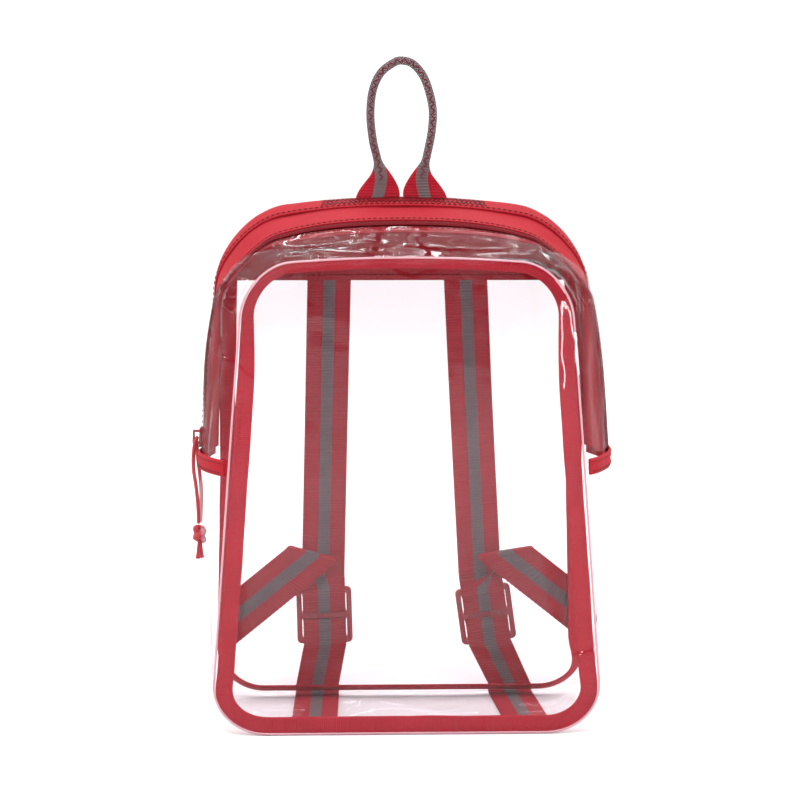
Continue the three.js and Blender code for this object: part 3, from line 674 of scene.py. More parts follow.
# %% Folds that film keeps
def crumple(x, y, size, seed):
    """From 0 to 1: a sharp ridge along the lines where smooth noise crosses zero."""
    return (1 - min(1, 3.2 * abs(noise.noise(Vector((x / size, y / size, seed)))))) ** 2


def wave(x, y, size, seed):
    """From -1 to 1: broad soft waves of that size in millimetres."""
    return 1.6 * noise.noise(Vector((x / size, y / size, seed)))


def panel_point(depth, around, across, face, crown):
    """A point of a front or back panel: around runs up the side, across from edge to edge."""
    half, top, bottom, *_ = section_sizes(depth)
    edge_x, edge_z = half_outline(depth, around)
    shoulder = half_outline(depth, 5)[1]
    level = back_height - yoke_height
    lift = (top - shoulder) * max(0, (edge_z - level) / (shoulder - level))
    rise = 2 * (edge_z - bottom) / (shoulder - bottom) - 1
    crowned = crown * (1 - across ** 2) * (1 - rise ** 2)
    return Vector((edge_x * across, face - crowned, edge_z + lift * (1 - across ** 2)))


def held_edge(across, up):
    """0 at a panel's seams and 1 inside them, because the seams hold the film flat."""
    return ease((1 - abs(across)) * 9) * ease(up * 12) * ease((1 - up) * 12)


def film_panel(name, depth, face, crown, seed, height):
    def place(u, v):
        across, around = 2 * u - 1, 1 + 4 * v
        p = panel_point(depth, around, across, face, crown)
        marks = wave(p.x, p.z, 85, seed) * 0.9 + crumple(p.x, p.z, 60, seed + 3) * 0.35
        p.y -= height * marks * held_edge(across, v)
        return p
    piece = lay_sheet(name, (96, 128), place, lambda u, v: (u * 200, v * 260), heart)
    thicken(piece, 0.5)
    smooth(piece)
    return piece


front_panel = film_panel("clear_front_panel", 0, front_face, front_crown, 1.7, 1.0)
back_panel = film_panel("clear_back_panel", 1, back_face, 0, 5.2, 0.25)
dress(front_panel, film, ["front_panel"])
dress(back_panel, film, ["back_panel"])

# %% [markdown]
# ## The clear side wall
# One long strip of film runs down one side, under the base and up the other, between the two cloth bands. A
# second strip arches over the top, in front of the zip. That one has to bend two ways at once at the corners,
# so it buckles there into long folds that run with the zip, and each of them mirrors a lamp as a bright line.

# %% Side wall of film
def wall_strip(name, start, end, near, far, outer, wall, steps, shape=None):
    """A strip on the side wall. shape(around, share across, mm along) pushes its outer face outwards."""
    total, place_at = evenly_round(start, end, 0.5)

    def place(u, v):
        around, depth = place_at(u), mix(near, far, v)
        return wall_point(around, depth, outer + (shape(around, v, u * total) if shape else 0))

    width = (far - near) * gusset_depth
    piece = lay_sheet(name, steps, place, lambda u, v: (u * total, (v - 0.5) * width), heart)
    thicken(piece, wall)
    smooth(piece)
    print(f"{name} is {total:.0f} mm long and {width:.0f} mm wide")
    return piece


def lower_folds(around, share, along):
    held = ease(share * 9) * ease((1 - share) * 9)
    depth = share * gusset_depth
    return held * (wave(along, depth, 60, 2.4) * 1.1 - crumple(along, depth, 55, 8.1) * 0.9)


def upper_folds(around, share, along):
    held = ease(share * 7) * ease((1 - share) * 5)
    depth = share * 48
    corner = math.exp(-((abs(around - 6) - 1.35) / 0.5) ** 2)
    long_folds = crumple(along, depth * 6, 90, 4.4) * (1.6 + 1.6 * corner)
    cross_folds = crumple(along, depth * 1.5, 34, 6.3) * (0.5 + 1.0 * corner)
    return held * (1.0 * wave(along, depth * 3, 70, 1.2) - long_folds - cross_folds)


side_length, upper_length = band_height - bottom_radius, back_height - back_top_radius - band_height
cut_below, cut_above = gap / 2 / side_length, gap / 2 / upper_length
zip_place, channel, tape_width, coil_width, coil_height = 0.54, 12.0, 22.0, 5.0, 2.0
zip_near, zip_far = zip_place - channel / 2 / gusset_depth, zip_place + channel / 2 / gusset_depth
lower_wall = wall_strip("clear_lower_wall", 9 + cut_below, 15 - cut_below, 0, 1, 0, 0.5, (300, 44),
                        lower_folds)
upper_wall = wall_strip("clear_upper_wall", 3 + cut_above, 9 - cut_above, 0, zip_near, 0, 0.5, (360, 30),
                        upper_folds)
dress(lower_wall, film, ["lower_gusset"])
dress(upper_wall, creased_film, ["front_gusset"])

# %% [markdown]
# ## Cloth behind the zip
# The back half of the upper wall is twill, and carries the zip on its front edge. A welt of the same cloth is
# folded over the back seam. The yoke is one more piece of it, sewn over the top of the back panel, where the
# straps and the carry loop pull.

# %% Rear wall, welt and yoke
def cloth_waves(around, share, along):
    held = ease(share * 5) * ease((1 - share) * 5)
    return held * (0.5 * wave(along, share * 40, 45, 3.3) - 0.5 * crumple(along, share * 90, 60, 7.7))


rear_wall = wall_strip("twill_rear_wall", 3 + cut_above, 9 - cut_above, zip_far, 1, 0, cloth_wall, (260, 20),
                       cloth_waves)
dress(rear_wall, twill, ["rear_gusset"])

band_width, welt_width = 10.0, 6.5
band_below, band_above = band_width / 2 / side_length, band_width / 2 / upper_length
trim_from, trim_to = 3 + band_above + gap / upper_length, 9 - band_above - gap / upper_length

welt_near = 0.84


def rolled(around, share, along):
    """A folded edge is thickest near the fold and thins towards its stitches."""
    return -0.55 * (2 * share - 1) ** 4 + 0.12 * wave(along, share * 8, 9, 2.0)


welt = wall_strip("twill_rear_welt", trim_from, trim_to, welt_near, 1, gap + cloth_wall, cloth_wall,
                  (360, 12), rolled)
dress(welt, twill, ["rear_welt"])


def place_at_height(depth, height):
    """The place on the right half of the outline at a height, found by halving the range."""
    low, high = 1.0, 5.0
    for _ in range(40):
        middle = (low + high) / 2
        low, high = (middle, high) if half_outline(depth, middle)[1] < height else (low, middle)
    return low


yoke_from = place_at_height(1, back_height - yoke_height)


def yoke_place(u, v):
    p = panel_point(1, mix(yoke_from, 5, v), 2 * u - 1, back_face + gap + cloth_wall, 0)
    p.y += 0.3 * wave(p.x, p.z, 40, 9.1) * held_edge(2 * u - 1, v)
    return p


yoke = lay_sheet("twill_yoke", (90, 24), yoke_place, lambda u, v: (u * 210, v * 48), heart)
thicken(yoke, cloth_wall)
smooth(yoke)
dress(yoke, twill, ["back_yoke"])

# %% [markdown]
# ## The end bands
# The zip ends on each side of the bag under a band of the same cloth, folded double, that closes the joint
# between the clear lower wall and the upper one. Its upper edge is rolled, so it stands up as a ridge.

# %% End bands
def end_band(name, start, end, upper_first, node):
    total, place_at = evenly_round(start, end, 0.5)

    def place(u, v):
        up = 1 - u if upper_first else u
        ridge = 0.75 * math.exp(-((up - 0.86) / 0.09) ** 2) + 0.5 * math.exp(-((up - 0.62) / 0.07) ** 2)
        return wall_point(place_at(u), mix(0.01, 0.99, v), gap + cloth_wall + ridge - 0.4 * (2 * up - 1) ** 8)

    piece = lay_sheet(name, (30, 60), place, lambda u, v: (u * total, v * 97), heart)
    thicken(piece, cloth_wall)
    smooth(piece)
    return dress(piece, twill, [node])


end_band("twill_band_right", 3 - band_below, 3 + band_above, False, "end_band_right")
end_band("twill_band_left", 9 - band_above, 9 + band_below, True, "end_band_left")

# %% [markdown]
# ## The zip
# A coil zip is one spiral of nylon on each side, and the two spirals lock into each other. From outside they
# are a rounded cord with fine cross ribs and a groove down its middle. The ribs are 1.2 mm apart on the bag,
# and are drawn 1.5 mm apart, so that the picture can show them.

# %% Zip tape and coil
tape_near, tape_far = zip_place - tape_width / 2 / gusset_depth, zip_place + tape_width / 2 / gusset_depth
tape = wall_strip("zip_cloth_tape", 3, 9, tape_near, tape_far, -vinyl_wall - gap, 0.8, (240, 10))
dress(tape, zip_cloth, ["zip_tape"])


def coil_ribs(around, share, along):
    crown = 1 - (2 * share - 1) ** 2
    groove = 0.7 * math.exp(-((share - 0.5) / 0.09) ** 2)
    return -1.2 * (1 - crown) + 0.28 * math.sin(2 * math.pi * along / 1.5 + math.pi * (share > 0.5)) * crown - groove


coil_near, coil_far = zip_place - coil_width / 2 / gusset_depth, zip_place + coil_width / 2 / gusset_depth
coil = wall_strip("zip_coil_spiral", trim_from, trim_to, coil_near, coil_far, coil_height - vinyl_wall, 0.6,
                  (1900, 12), coil_ribs)
dress(coil, nylon_coil, ["zip_coil"])

# %% [markdown]
# ## The zip slider
# The slider is built from blocks with bevelled edges: a top plate, a flange down each side, and two
# posts that carry the bridge, with room under it for the cord. They are joined and turned to the wall with the
# same frame that the solid has.

# %% Slider
def block(name, centre, size, bevel=0.0):
    """A box of that size, in millimetres, with bevelled edges."""
    bpy.ops.object.select_all(action="DESELECT")
    bpy.ops.mesh.primitive_cube_add(size=1)
    piece = bpy.context.active_object
    piece.name = name
    for point in piece.data.vertices:
        point.co = Vector([(c + p * s) * MM for c, p, s in zip(centre, point.co, size)])
    if bevel:
        bpy.ops.object.mode_set(mode="EDIT")
        bpy.ops.mesh.select_all(action="SELECT")
        bpy.ops.mesh.bevel(offset=bevel * MM, segments=3, affect="EDGES")
        bpy.ops.object.mode_set(mode="OBJECT")
    return piece


slider_around = 9 - band_above - (11 / 2 + 4 * gap) / upper_length
slider_origin = wall_point(slider_around, zip_place, coil_height - vinyl_wall + 2.5 * gap)
off = wall_normal(slider_around, zip_place)
across_zip = Vector((0, 1, 0))
along_zip = across_zip.cross(off).normalized()
across_zip = off.cross(along_zip)
slider_frame = Matrix((along_zip, across_zip, off)).transposed().to_4x4()
slider_frame.translation = slider_origin * MM
parts = [block("plate", (0, 0, 0.5), (11, 7.6, 1.0), 0.35)]
for hand in (-1, 1):
    parts.append(block("flange", (0, hand * 3.3, -0.35), (11, 1.0, 2.7), 0.3))
    parts.append(block("post", (hand * 3.3, 0, 1.9), (1.4, 2.4, 3.8), 0.3))
parts.append(block("bridge", (0, 0, 4.25), (8, 2.4, 1.3), 0.45))
slider = join(*parts)
slider.name = slider.data.name = "zip_slider_body"
slider.data.transform(slider_frame)
smooth(slider, 40)
dress(slider, painted_zinc, ["zip_slider"])

# %% [markdown]
# ## Seam bindings
# Inside each seam, tape is folded over the raw edges of film and sewn down. Its cross section is a flat loop
# with a rounded fold, pressed in along the line of stitches. It runs all the way round in one closed ring. The
# film pulls it round: towards the top the front one turns backwards, and along the base the back one forwards.

# %% Bindings
def seam_inward(depth, around):
    ax, az = outline(depth, around - 0.004)
    bx, bz = outline(depth, around + 0.004)
    size = math.hypot(bx - ax, bz - az)
    return Vector((-(bz - az) / size, 0, (bx - ax) / size))


binding_inset, binding_width, binding_wall = vinyl_wall + gap + 1, 9.5, 2.2
front_stitch, back_stitch = 2.9, 3.2


def binding_point(depth, around, across, thick):
    """A point of a binding's section: across from the seam inwards, thick from its front face to its back."""
    x, z = outline(depth, around)
    front = depth == 0
    turned = math.radians(62) * ease((z - 165) / 90) if front else math.radians(65) * ease((40 - z) / 30)
    low = ease((40 - z) / 30) if front else ease((z - 130) / 60)
    near = gusset_start if front else gusset_end - binding_wall
    inward = (mix(binding_inset, 0.8, low) + across * math.cos(turned)
              + (binding_wall - thick - 1.2) * math.sin(turned))
    lean = across * math.sin(turned) * (1 if front else -1) + thick * math.cos(turned)
    return Vector((x, near + lean, z)) + seam_inward(depth, around) * inward


def seam_binding(name, depth, stitch, node):
    total, place_at = evenly_round(0, 12, depth)

    def place(u, v):
        around = place_at(u)
        angle = 2 * math.pi * v
        flat = math.copysign(abs(math.cos(angle)) ** 0.35, math.cos(angle))
        thin = math.copysign(abs(math.sin(angle)) ** 0.6, math.sin(angle))
        across = binding_width * (0.5 + 0.5 * flat)
        pressed = 0.55 * math.exp(-((across - stitch) / 0.8) ** 2)
        ripple = 0.2 * wave(u * total, across * 3, 24, depth + 4)
        thick = binding_wall * (0.5 - 0.5 * thin * (1 - pressed)) + 0.4 * ripple
        return binding_point(depth, around, across + ripple, thick)

    girth = 2 * (binding_width + binding_wall)
    return roll_ring(name, (420, 28), place, lambda u, v: (u * total, v * girth), binding_tape, [node])


seam_binding("tape_front_binding", 0, front_stitch, "front_binding")
seam_binding("tape_back_binding", 1, back_stitch, "back_binding")

# %% [markdown]
# Outside the binding, the two films' edges stand a little proud all round the front seam. They are drawn as one
# opaque tube, pale pink instead of clear. That pale colour is a painted highlight: it stands for the lamps
# caught along the film's edge as a thin pale line.

# %% Rim of the front seam, pale with a painted highlight
rim_total, rim_at = evenly_round(0, 12, 0)
rim_radius, rim_inset = 0.6, 0.9


def rim_point(u, v):
    around = rim_at(u)
    angle = 2 * math.pi * v
    x, z = outline(0, around)
    return (Vector((x, gusset_start - 0.2 + rim_radius * math.sin(angle), z))
            + seam_inward(0, around) * (rim_inset + rim_radius * math.cos(angle)))


# The rim is opaque and pale pink: a painted highlight along the film's edge.
roll_ring("seam_rim_painted_highlight", (420, 10), rim_point, lambda u, v: (u * rim_total, v * 5), film_edge)

# %% [markdown]
# ## Webbing
# The straps are flat webbing. Each is a line of stations, with the middle of the webbing and the direction of
# its width, measured out in steps of half a millimetre and laid as one sheet. Its edges are not straight: each
# turn of the weft pulls a small scallop into them.

# %% A strap laid along its stations
def station(x, y, z, tilt=0.0, half=webbing_width / 2):
    return Vector((x, y, z)), Vector((math.cos(tilt) * half, 0, math.sin(tilt) * half))


def ribbon(name, stations, node, step=0.55, columns=10):
    lengths = lengths_along([centre for centre, _ in stations])
    count = round(lengths[-1] / step)
    rows = [[a.lerp(b, share) for a, b in zip(stations[k], stations[k + 1])]
            for k, share in measured_out(lengths, count + 1)]

    def place(u, v):
        i = round(u * count)
        centre, across = rows[i]
        scallop = 1 + 0.016 * math.sin(2 * math.pi * u * lengths[-1] / 2.2) * abs(2 * v - 1) ** 6
        return centre + across * ((2 * v - 1) * scallop)

    piece = lay_sheet(name, (count, columns), place,
                      lambda u, v: (u * lengths[-1], (v - 0.5) * webbing_width))
    thicken(piece, webbing_thickness * 0.85, 0)
    smooth(piece, 60)
    print(f"{name} is {lengths[-1]:.0f} mm of webbing")
    return dress(piece, webbing, [node])


# %% Where the straps run
buckle_width, buckle_height, buckle_rail, buckle_bar, buckle_middle = 33.0, 34.0, 3.2, 4.0, 47.0
strap_drop, strap_bow, tail_reach = 240.0, 12.5, 66.0
strap_sets = [
    dict(side="left", top=-0.38, buckle=-0.42, lean=1.5, anchor=-1, anchor_rise=0.83, fold=-0.488,
         fold_rise=1.79, tail=-0.46, tail_end=-0.474),
    dict(side="right", top=0.33, buckle=0.468, lean=8, anchor=1, anchor_rise=1.02, fold=0.575,
         fold_rise=1.8, tail=0.6, tail_end=0.635),
]
layer_sewn = back_face + gap + cloth_wall + gap + webbing_thickness / 2
layer_adjuster = back_face + gap + webbing_thickness / 2
layer_folded = layer_adjuster + 2 * fold_radius
layer_strap_end = layer_folded + webbing_thickness + gap
buckle_front = layer_strap_end + webbing_thickness / 2 + gap
buckle_back = buckle_front + buckle_thickness
layer_strap = buckle_back + gap + webbing_thickness / 2
upper_bar = buckle_height / 2 - buckle_bar
wrap = gap + webbing_thickness / 2


def in_buckle(strap, y, z):
    """A place on a buckle's middle line, turned into the bag's frame."""
    lean = math.radians(strap["lean"])
    return station(strap["buckle"] * back_half_width - z * math.sin(lean), y,
                   buckle_middle + z * math.cos(lean), lean)


def bar_corner(strap, y, z, start, end):
    """Webbing round one corner of a buckle's bar."""
    angles = [math.radians(mix(start, end, k / 8)) for k in range(9)]
    return [in_buckle(strap, y + wrap * math.cos(a), z + wrap * math.sin(a)) for a in angles]


# %% [markdown]
# The shoulder strap is sewn flat to the yoke, bows away from the back and comes down to the buckle, where it
# goes round the upper bar and is sewn to itself. The adjuster starts in the side seam, slants up to a fold,
# comes down through the buckle and ends in a loose tail, which is tucked forwards under the bag.

# %% Shoulder straps
def shoulder_strap(strap):
    start_z, start_x = buckle_middle + strap_drop, strap["top"] * back_half_width
    joint = in_buckle(strap, layer_strap, buckle_height / 2 + 8)[0]
    rows = [(0, 0), (0.16, 0), (0.26, 0.22), (0.4, 0.68), (0.54, 0.94), (0.7, 1), (0.86, 0.97)]
    centres = [Vector((mix(start_x, joint.x, down), mix(layer_sewn, back_face + strap_bow, out),
                       mix(start_z, joint.z, down))) for down, out in rows] + [joint]
    bow = smooth_line(centres, 60)
    stations = [(p, station(0, 0, 0, math.radians(strap["lean"]) * (start_z - p.z) / (start_z - joint.z))[1])
                for p in bow]
    stations += bar_corner(strap, buckle_back, upper_bar, 0, -90)
    stations += bar_corner(strap, buckle_front, upper_bar, -90, -180)
    stations.append(in_buckle(strap, layer_strap_end, buckle_height / 2 + 6))
    return ribbon(f"webbing_strap_{strap['side']}", stations, f"shoulder_strap_{strap['side']}")


for strap in strap_sets:
    shoulder_strap(strap)


# %% Adjusters
def adjuster_stations(strap):
    start_x, start_z = strap["anchor"] * back_half_width, strap["anchor_rise"] * buckle_middle
    fold_x, fold_z = strap["fold"] * back_half_width, strap["fold_rise"] * buckle_middle
    entry = in_buckle(strap, layer_folded, buckle_height / 2)
    flip = 1 if start_x < 0 else -1
    rising = math.atan2(fold_z - start_z, fold_x - start_x) - flip * math.pi / 2
    falling = math.atan2(entry[0].z - fold_z, entry[0].x - fold_x) + flip * math.pi / 2
    begin, end = (math.atan2(math.sin(a), math.cos(a)) for a in (rising, falling))
    fold_tilt, fold_half = (begin + end) / 2, webbing_width / 2 / math.cos((begin - end) / 2)
    cut = -math.pi / 2
    stations = [station(start_x, layer_adjuster, start_z, cut, webbing_width / 2 / math.cos(begin - cut))]
    for k in range(13):
        angle = math.pi * k / 12
        out = fold_radius * math.sin(angle)
        stations.append(station(fold_x - math.sin(fold_tilt) * out,
                                layer_adjuster + fold_radius * (1 - math.cos(angle)),
                                fold_z + math.cos(fold_tilt) * out, fold_tilt,
                                fold_half * (1 - 0.12 * math.sin(angle))))
    stations += [entry, in_buckle(strap, layer_folded, upper_bar)]
    stations += bar_corner(strap, buckle_front, buckle_bar / 2, 150, 90)
    stations += bar_corner(strap, buckle_back, buckle_bar / 2, 90, 0)
    stations += bar_corner(strap, buckle_back, -buckle_bar / 2, 0, -90)
    stations += bar_corner(strap, buckle_front, -buckle_bar / 2, -90, -150)
    stations += [in_buckle(strap, layer_strap_end, -upper_bar), in_buckle(strap, layer_strap_end, -buckle_height / 2)]
    for k in range(9):
        angle = math.radians(90 * k / 8)
        stations.append(station(strap["tail"] * back_half_width, layer_strap_end - 4 + 4 * math.cos(angle),
                                webbing_thickness / 2 + 4 * (1 - math.sin(angle))))
    stations.append(station(strap["tail_end"] * back_half_width, back_face - tail_reach, webbing_thickness / 2))
    return stations


for strap in strap_sets:
    ribbon(f"webbing_adjuster_{strap['side']}", adjuster_stations(strap), f"adjuster_{strap['side']}")

# %% [markdown]
# ## The buckles
# A ladder-lock is a flat frame with three bars. It is modelled as a maker of moulds would draw it: a grid whose
# lines stand where the bars begin and end, with the faces of the two slots deleted. The frame's corners are
# rounded in the plane, Solidify gives the thickness, and Bevel the moulded edges. The middle bar, which grips
# the webbing, has small teeth.

# %% Ladder-lock buckles
def ladder_lock(strap):
    bpy.ops.object.select_all(action="DESELECT")
    bpy.ops.mesh.primitive_grid_add(x_subdivisions=3, y_subdivisions=5, size=2)
    piece = bpy.context.active_object
    piece.name = piece.data.name = f"buckle_frame_{strap['side']}"
    xs = [-buckle_width / 2, -buckle_width / 2 + buckle_rail, buckle_width / 2 - buckle_rail, buckle_width / 2]
    zs = [-buckle_height / 2, -upper_bar, -buckle_bar / 2, buckle_bar / 2, upper_bar, buckle_height / 2]
    for point in piece.data.vertices:
        column, row = round((point.co.x + 1) / 2 * 3), round((point.co.y + 1) / 2 * 5)
        point.co = Vector((xs[column], 0, zs[row])) * MM
    bpy.ops.object.mode_set(mode="EDIT")
    bpy.ops.mesh.select_mode(type="FACE")
    bpy.ops.mesh.select_all(action="DESELECT")
    bpy.ops.object.mode_set(mode="OBJECT")
    for face in piece.data.polygons:
        face.select = abs(face.center.x) < 1 * MM and abs(abs(face.center.z) - (upper_bar + 2) / 2 * MM) < 2 * MM
    bpy.ops.object.mode_set(mode="EDIT")
    bpy.ops.mesh.delete(type="FACE")
    bpy.ops.mesh.select_mode(type="VERT")
    bpy.ops.mesh.select_all(action="DESELECT")
    bpy.ops.object.mode_set(mode="OBJECT")
    for point in piece.data.vertices:
        point.select = (abs(point.co.x) > (buckle_width / 2 - 0.1) * MM
                        and abs(point.co.z) > (buckle_height / 2 - 0.1) * MM)
    bpy.ops.object.mode_set(mode="EDIT")
    bpy.ops.mesh.bevel(offset=3 * MM, segments=5, affect="VERTICES")
    bpy.ops.mesh.select_all(action="DESELECT")
    bpy.ops.object.mode_set(mode="OBJECT")
    thicken(piece, buckle_thickness, 0)
    apply_modifier(piece, "BEVEL", width=0.6 * MM, segments=3, limit_method="ANGLE",
                   angle_limit=math.radians(40))
    teeth = []
    for k in range(7):
        teeth.append(block("tooth", ((k - 3) * 3.4, -buckle_thickness / 2 - 0.1, 0), (1.2, 0.7, 2.6), 0.25))
    join(piece, *teeth)
    centre = Vector((strap["buckle"] * back_half_width, (buckle_front + buckle_back) / 2, buckle_middle)) * MM
    piece.data.transform(Matrix.Translation(centre) @ Matrix.Rotation(-math.radians(strap["lean"]), 4, "Y"))
    smooth(piece, 40)
    return dress(piece, acetal, [f"buckle_{strap['side']}"])


for strap in strap_sets:
    ladder_lock(strap)

# %% [markdown]
# ## The carry loop
# The loop is one length of the same webbing. Its two ends lie flat on the welt, and between them its red sides
# are folded back behind the stripe and sewn through with a red zigzag, which makes a round grip. So its front
# is grey all the way, and the red shows only where the sides open out to the two tabs, like petals.

# %% Carry loop
loop_rise, loop_span, tab_spacing, rope = 80.0, 36.0, 27.8, 4.8
loop_base = back_height + 2 * gap + cloth_wall
loop_y = gusset_end - welt_width / 2
loop_height = loop_rise - rope / 2
loop_rows = [(-0.33, 0.13), (-0.4, 0.29), (-0.46, 0.41), (-0.5, 0.6), (-0.46, 0.78), (-0.33, 0.91),
             (-0.12, 0.985), (0.02, 1), (0.2, 0.97), (0.38, 0.86), (0.5, 0.66), (0.49, 0.48), (0.41, 0.29),
             (0.33, 0.13)]
loop_line = smooth_line([Vector((-tab_spacing / 2, loop_y, loop_base - 2.2)),
                         *[Vector((a * loop_span, loop_y, loop_base + r * loop_height)) for a, r in loop_rows],
                         Vector((tab_spacing / 2, loop_y, loop_base - 2.2))], 401)
loop_total = line_length(loop_line)


def loop_frame(i):
    """Centre, direction across, half width, half depth and how far it is folded, at one point of the loop."""
    centre = loop_line[i]
    along = (loop_line[min(i + 1, 400)] - loop_line[max(i - 1, 0)]).normalized()
    upright = Vector((0, 0, 1 if i < 200 else -1))
    along = upright.lerp(along, ease((centre.z - loop_base) / 26)).normalized()
    across = Vector((0, 1, 0)).cross(along).normalized()
    fold = ease(((centre.z - loop_base) / loop_height + 0.02) / 0.29)
    return centre, across, mix(webbing_width, rope, fold) / 2, mix(webbing_thickness, rope, fold) / 2, fold


def loop_place(u, v):
    centre, across, wide, deep, fold = loop_frame(round(u * 400))
    angle = 2 * math.pi * v
    power = mix(0.35, 0.75, fold)
    x = math.copysign(abs(math.cos(angle)) ** power, math.cos(angle))
    y = math.copysign(abs(math.sin(angle)) ** power, math.sin(angle))
    crease = 0.5 * math.sin(math.pi * min(1, 2 * fold)) * max(0, abs(x * wide) - 3.4) * 0.3
    return centre + across * (x * wide) + Vector((0, y * deep + crease, 0))


def loop_flat(u, v):
    """On the front half the pattern is the place across; behind, it lies outside the stripe."""
    _, _, wide, _, fold = loop_frame(round(u * 400))
    angle = 2 * math.pi * v
    x = math.copysign(abs(math.cos(angle)) ** mix(0.35, 0.75, fold), math.cos(angle)) * wide
    return u * loop_total, x if math.sin(angle) <= 0.25 or fold < 0.05 else 6 + abs(x)


carry_loop = roll_tube("webbing_carry_loop", (400, 40), loop_place, loop_flat)
smooth(carry_loop, 70)
dress(carry_loop, webbing, ["carry_loop"])
print(f"the loop is {loop_total:.0f} mm of webbing")

# %% [markdown]
# ## Stitches
# A lockstitch seam is a row of short slanted dashes of thread. One stitch is modelled as a small capsule, from
# a sphere with few faces that is stretched along its length, and copied along each seam. Each row becomes one
# piece. On the bag the dashes are 2.5 mm long, and the thread is 0.4 mm thick, drawn as 0.75 mm to show.

# %% One stitch, and rows of it
bpy.ops.object.select_all(action="DESELECT")
bpy.ops.mesh.primitive_uv_sphere_add(segments=6, ring_count=5, radius=1)
stitch = bpy.context.active_object
stitch_points = [Vector((p.co.z, p.co.x, p.co.y)) for p in stitch.data.vertices]
stitch_faces = [tuple(reversed(f.vertices)) for f in stitch.data.polygons]
stitch_volume = sum(stitch_points[f[0]].dot(stitch_points[f[1]].cross(stitch_points[f[2]])) for f in stitch_faces)
if stitch_volume < 0:
    stitch_faces = [tuple(reversed(f)) for f in stitch_faces]
bpy.data.objects.remove(stitch)
print("one stitch has", len(stitch_faces), "faces")


def sew(name, dashes, material, thick=0.75, height=0.5):
    """A row of stitches. Each dash is its two ends and the direction that faces out of the cloth."""
    points, faces = [], []
    for start, end, out in dashes:
        along = (end - start) / 2
        out = out.normalized()
        side = along.cross(out).normalized()
        first = len(points)
        for p in stitch_points:
            arch = (1 - p.x * p.x) * 0.1
            points.append(((start + end) / 2 + along * p.x + side * (p.y * thick / 2)
                           + out * (p.z * height / 2 + arch)) * MM)
        faces += [tuple(first + k for k in f) for f in stitch_faces]
    mesh = bpy.data.meshes.new(name)
    mesh.from_pydata(points, [], faces)
    piece = bpy.data.objects.new(name, mesh)
    bpy.context.scene.collection.objects.link(piece)
    face_outwards(piece)
    smooth(piece, 80)
    print(f"{name}: {len(dashes)} stitches")
    return dress(piece, material)


def dashes_on_wall(start, end, depth, offset, pitch=3.2, length=2.4):
    """Dashes that follow the side wall at one depth."""
    total, place_at = evenly_round(start, end, depth)
    rows = []
    for k in range(int(total / pitch)):
        a, b = (place_at((k * pitch + s) / total) for s in (0.3, 0.3 + length))
        rows.append((wall_point(a, depth, offset), wall_point(b, depth, offset), wall_normal(a, depth)))
    return rows


def dashes_on_binding(depth, across, pitch=3.2, length=2.4):
    """Dashes that follow a binding on its front face, that far from its outer edge."""
    total, place_at = evenly_round(0, 12, depth)
    rows = []
    for k in range(int(total / pitch)):
        a, b = (place_at(min(1, (k * pitch + s) / total)) for s in (0.3, 0.3 + length))
        start, end = (binding_point(depth, around, across, 0.4) for around in (a, b))
        rows.append((start, end, start - binding_point(depth, a, across, 1.4)))
    return rows


def dashes_between(points, out, pitch=3.0, length=2.2):
    """Dashes along straight lines between points."""
    rows = []
    for a, b in zip(points, points[1:]):
        total = (b - a).length
        count = max(1, round(total / pitch))
        for k in range(count):
            rows.append((a.lerp(b, (k + 0.1) / count), a.lerp(b, (k + 0.1 + length / pitch * 0.9) / count), out))
    return rows


# %% Seams of the bag
forwards, backwards = Vector((0, -1, 0)), Vector((0, 1, 0))
sew("stitches_front_seam", dashes_on_binding(0, front_stitch), dark_thread)
sew("stitches_back_seam", dashes_on_binding(1, back_stitch), dark_thread)
sew("stitches_film_edge", dashes_on_wall(3.08, 8.92, zip_near - 2.6 / gusset_depth, 0.15), thread)
sew("stitches_zip_edge", dashes_on_wall(3.08, 8.92, zip_far + 2.4 / gusset_depth, 0.15), dark_thread)
sew("stitches_welt", dashes_on_wall(trim_from, trim_to, welt_near + 0.016, gap + cloth_wall + 0.1), dark_thread)
for name, start, end in (("right", 3 - band_below, 3 + band_above), ("left", 9 - band_above, 9 + band_below)):
    rows = []
    for share in (0.16, 0.74):
        around = mix(start, end, share if name == "right" else 1 - share)
        for k in range(30):
            a, b = (0.03 + (k + s) * 0.94 / 30 for s in (0.1, 0.82))
            rows.append((wall_point(around, a, gap + cloth_wall + 0.12),
                         wall_point(around, b, gap + cloth_wall + 0.12), wall_normal(around, a)))
    sew(f"stitches_band_{name}", rows, dark_thread)

# %% [markdown]
# Where the carry loop pulls, the welt is reinforced with a close zigzag of thread. The yoke has a double row
# along its lower edge, and each strap end is sewn with a box. The grip of the carry loop has its own zigzag.

# %% Zigzags, yoke rows and boxes
zigzag = []
total, place_at = evenly_round(5.0, 7.0, 0.97)
middle, pitch = total / 2, 2.6
for low, high in ((0.875, 0.925), (0.925, 0.975)):
    for k in range(int(96 / pitch)):
        at = middle - 48 + k * pitch
        ends = [(at, low), (at + pitch / 2, high), (at + pitch, low)]
        places = [wall_point(place_at(s / total), d, gap + cloth_wall + 0.15) for s, d in ends]
        out = wall_normal(place_at(at / total), 0.97)
        zigzag += [(places[0], places[1], out), (places[1], places[2], out)]
sew("stitches_reinforced", zigzag, dark_thread, 0.65)


def yoke_row(up, y, out):
    """A row of dashes along the yoke, that far above its lower edge."""
    around = place_at_height(1, back_height - yoke_height + up)
    points = [panel_point(1, around, mix(-0.93, 0.93, k / 12), y, 0) for k in range(13)]
    return dashes_between(points, out)


sew("stitches_yoke_inside", yoke_row(3, back_face - vinyl_wall - 0.1, forwards), dark_thread)
sew("stitches_yoke_outside", yoke_row(3, back_face + gap + cloth_wall + 0.1, backwards)
    + yoke_row(6, back_face + gap + cloth_wall + 0.1, backwards), dark_thread)

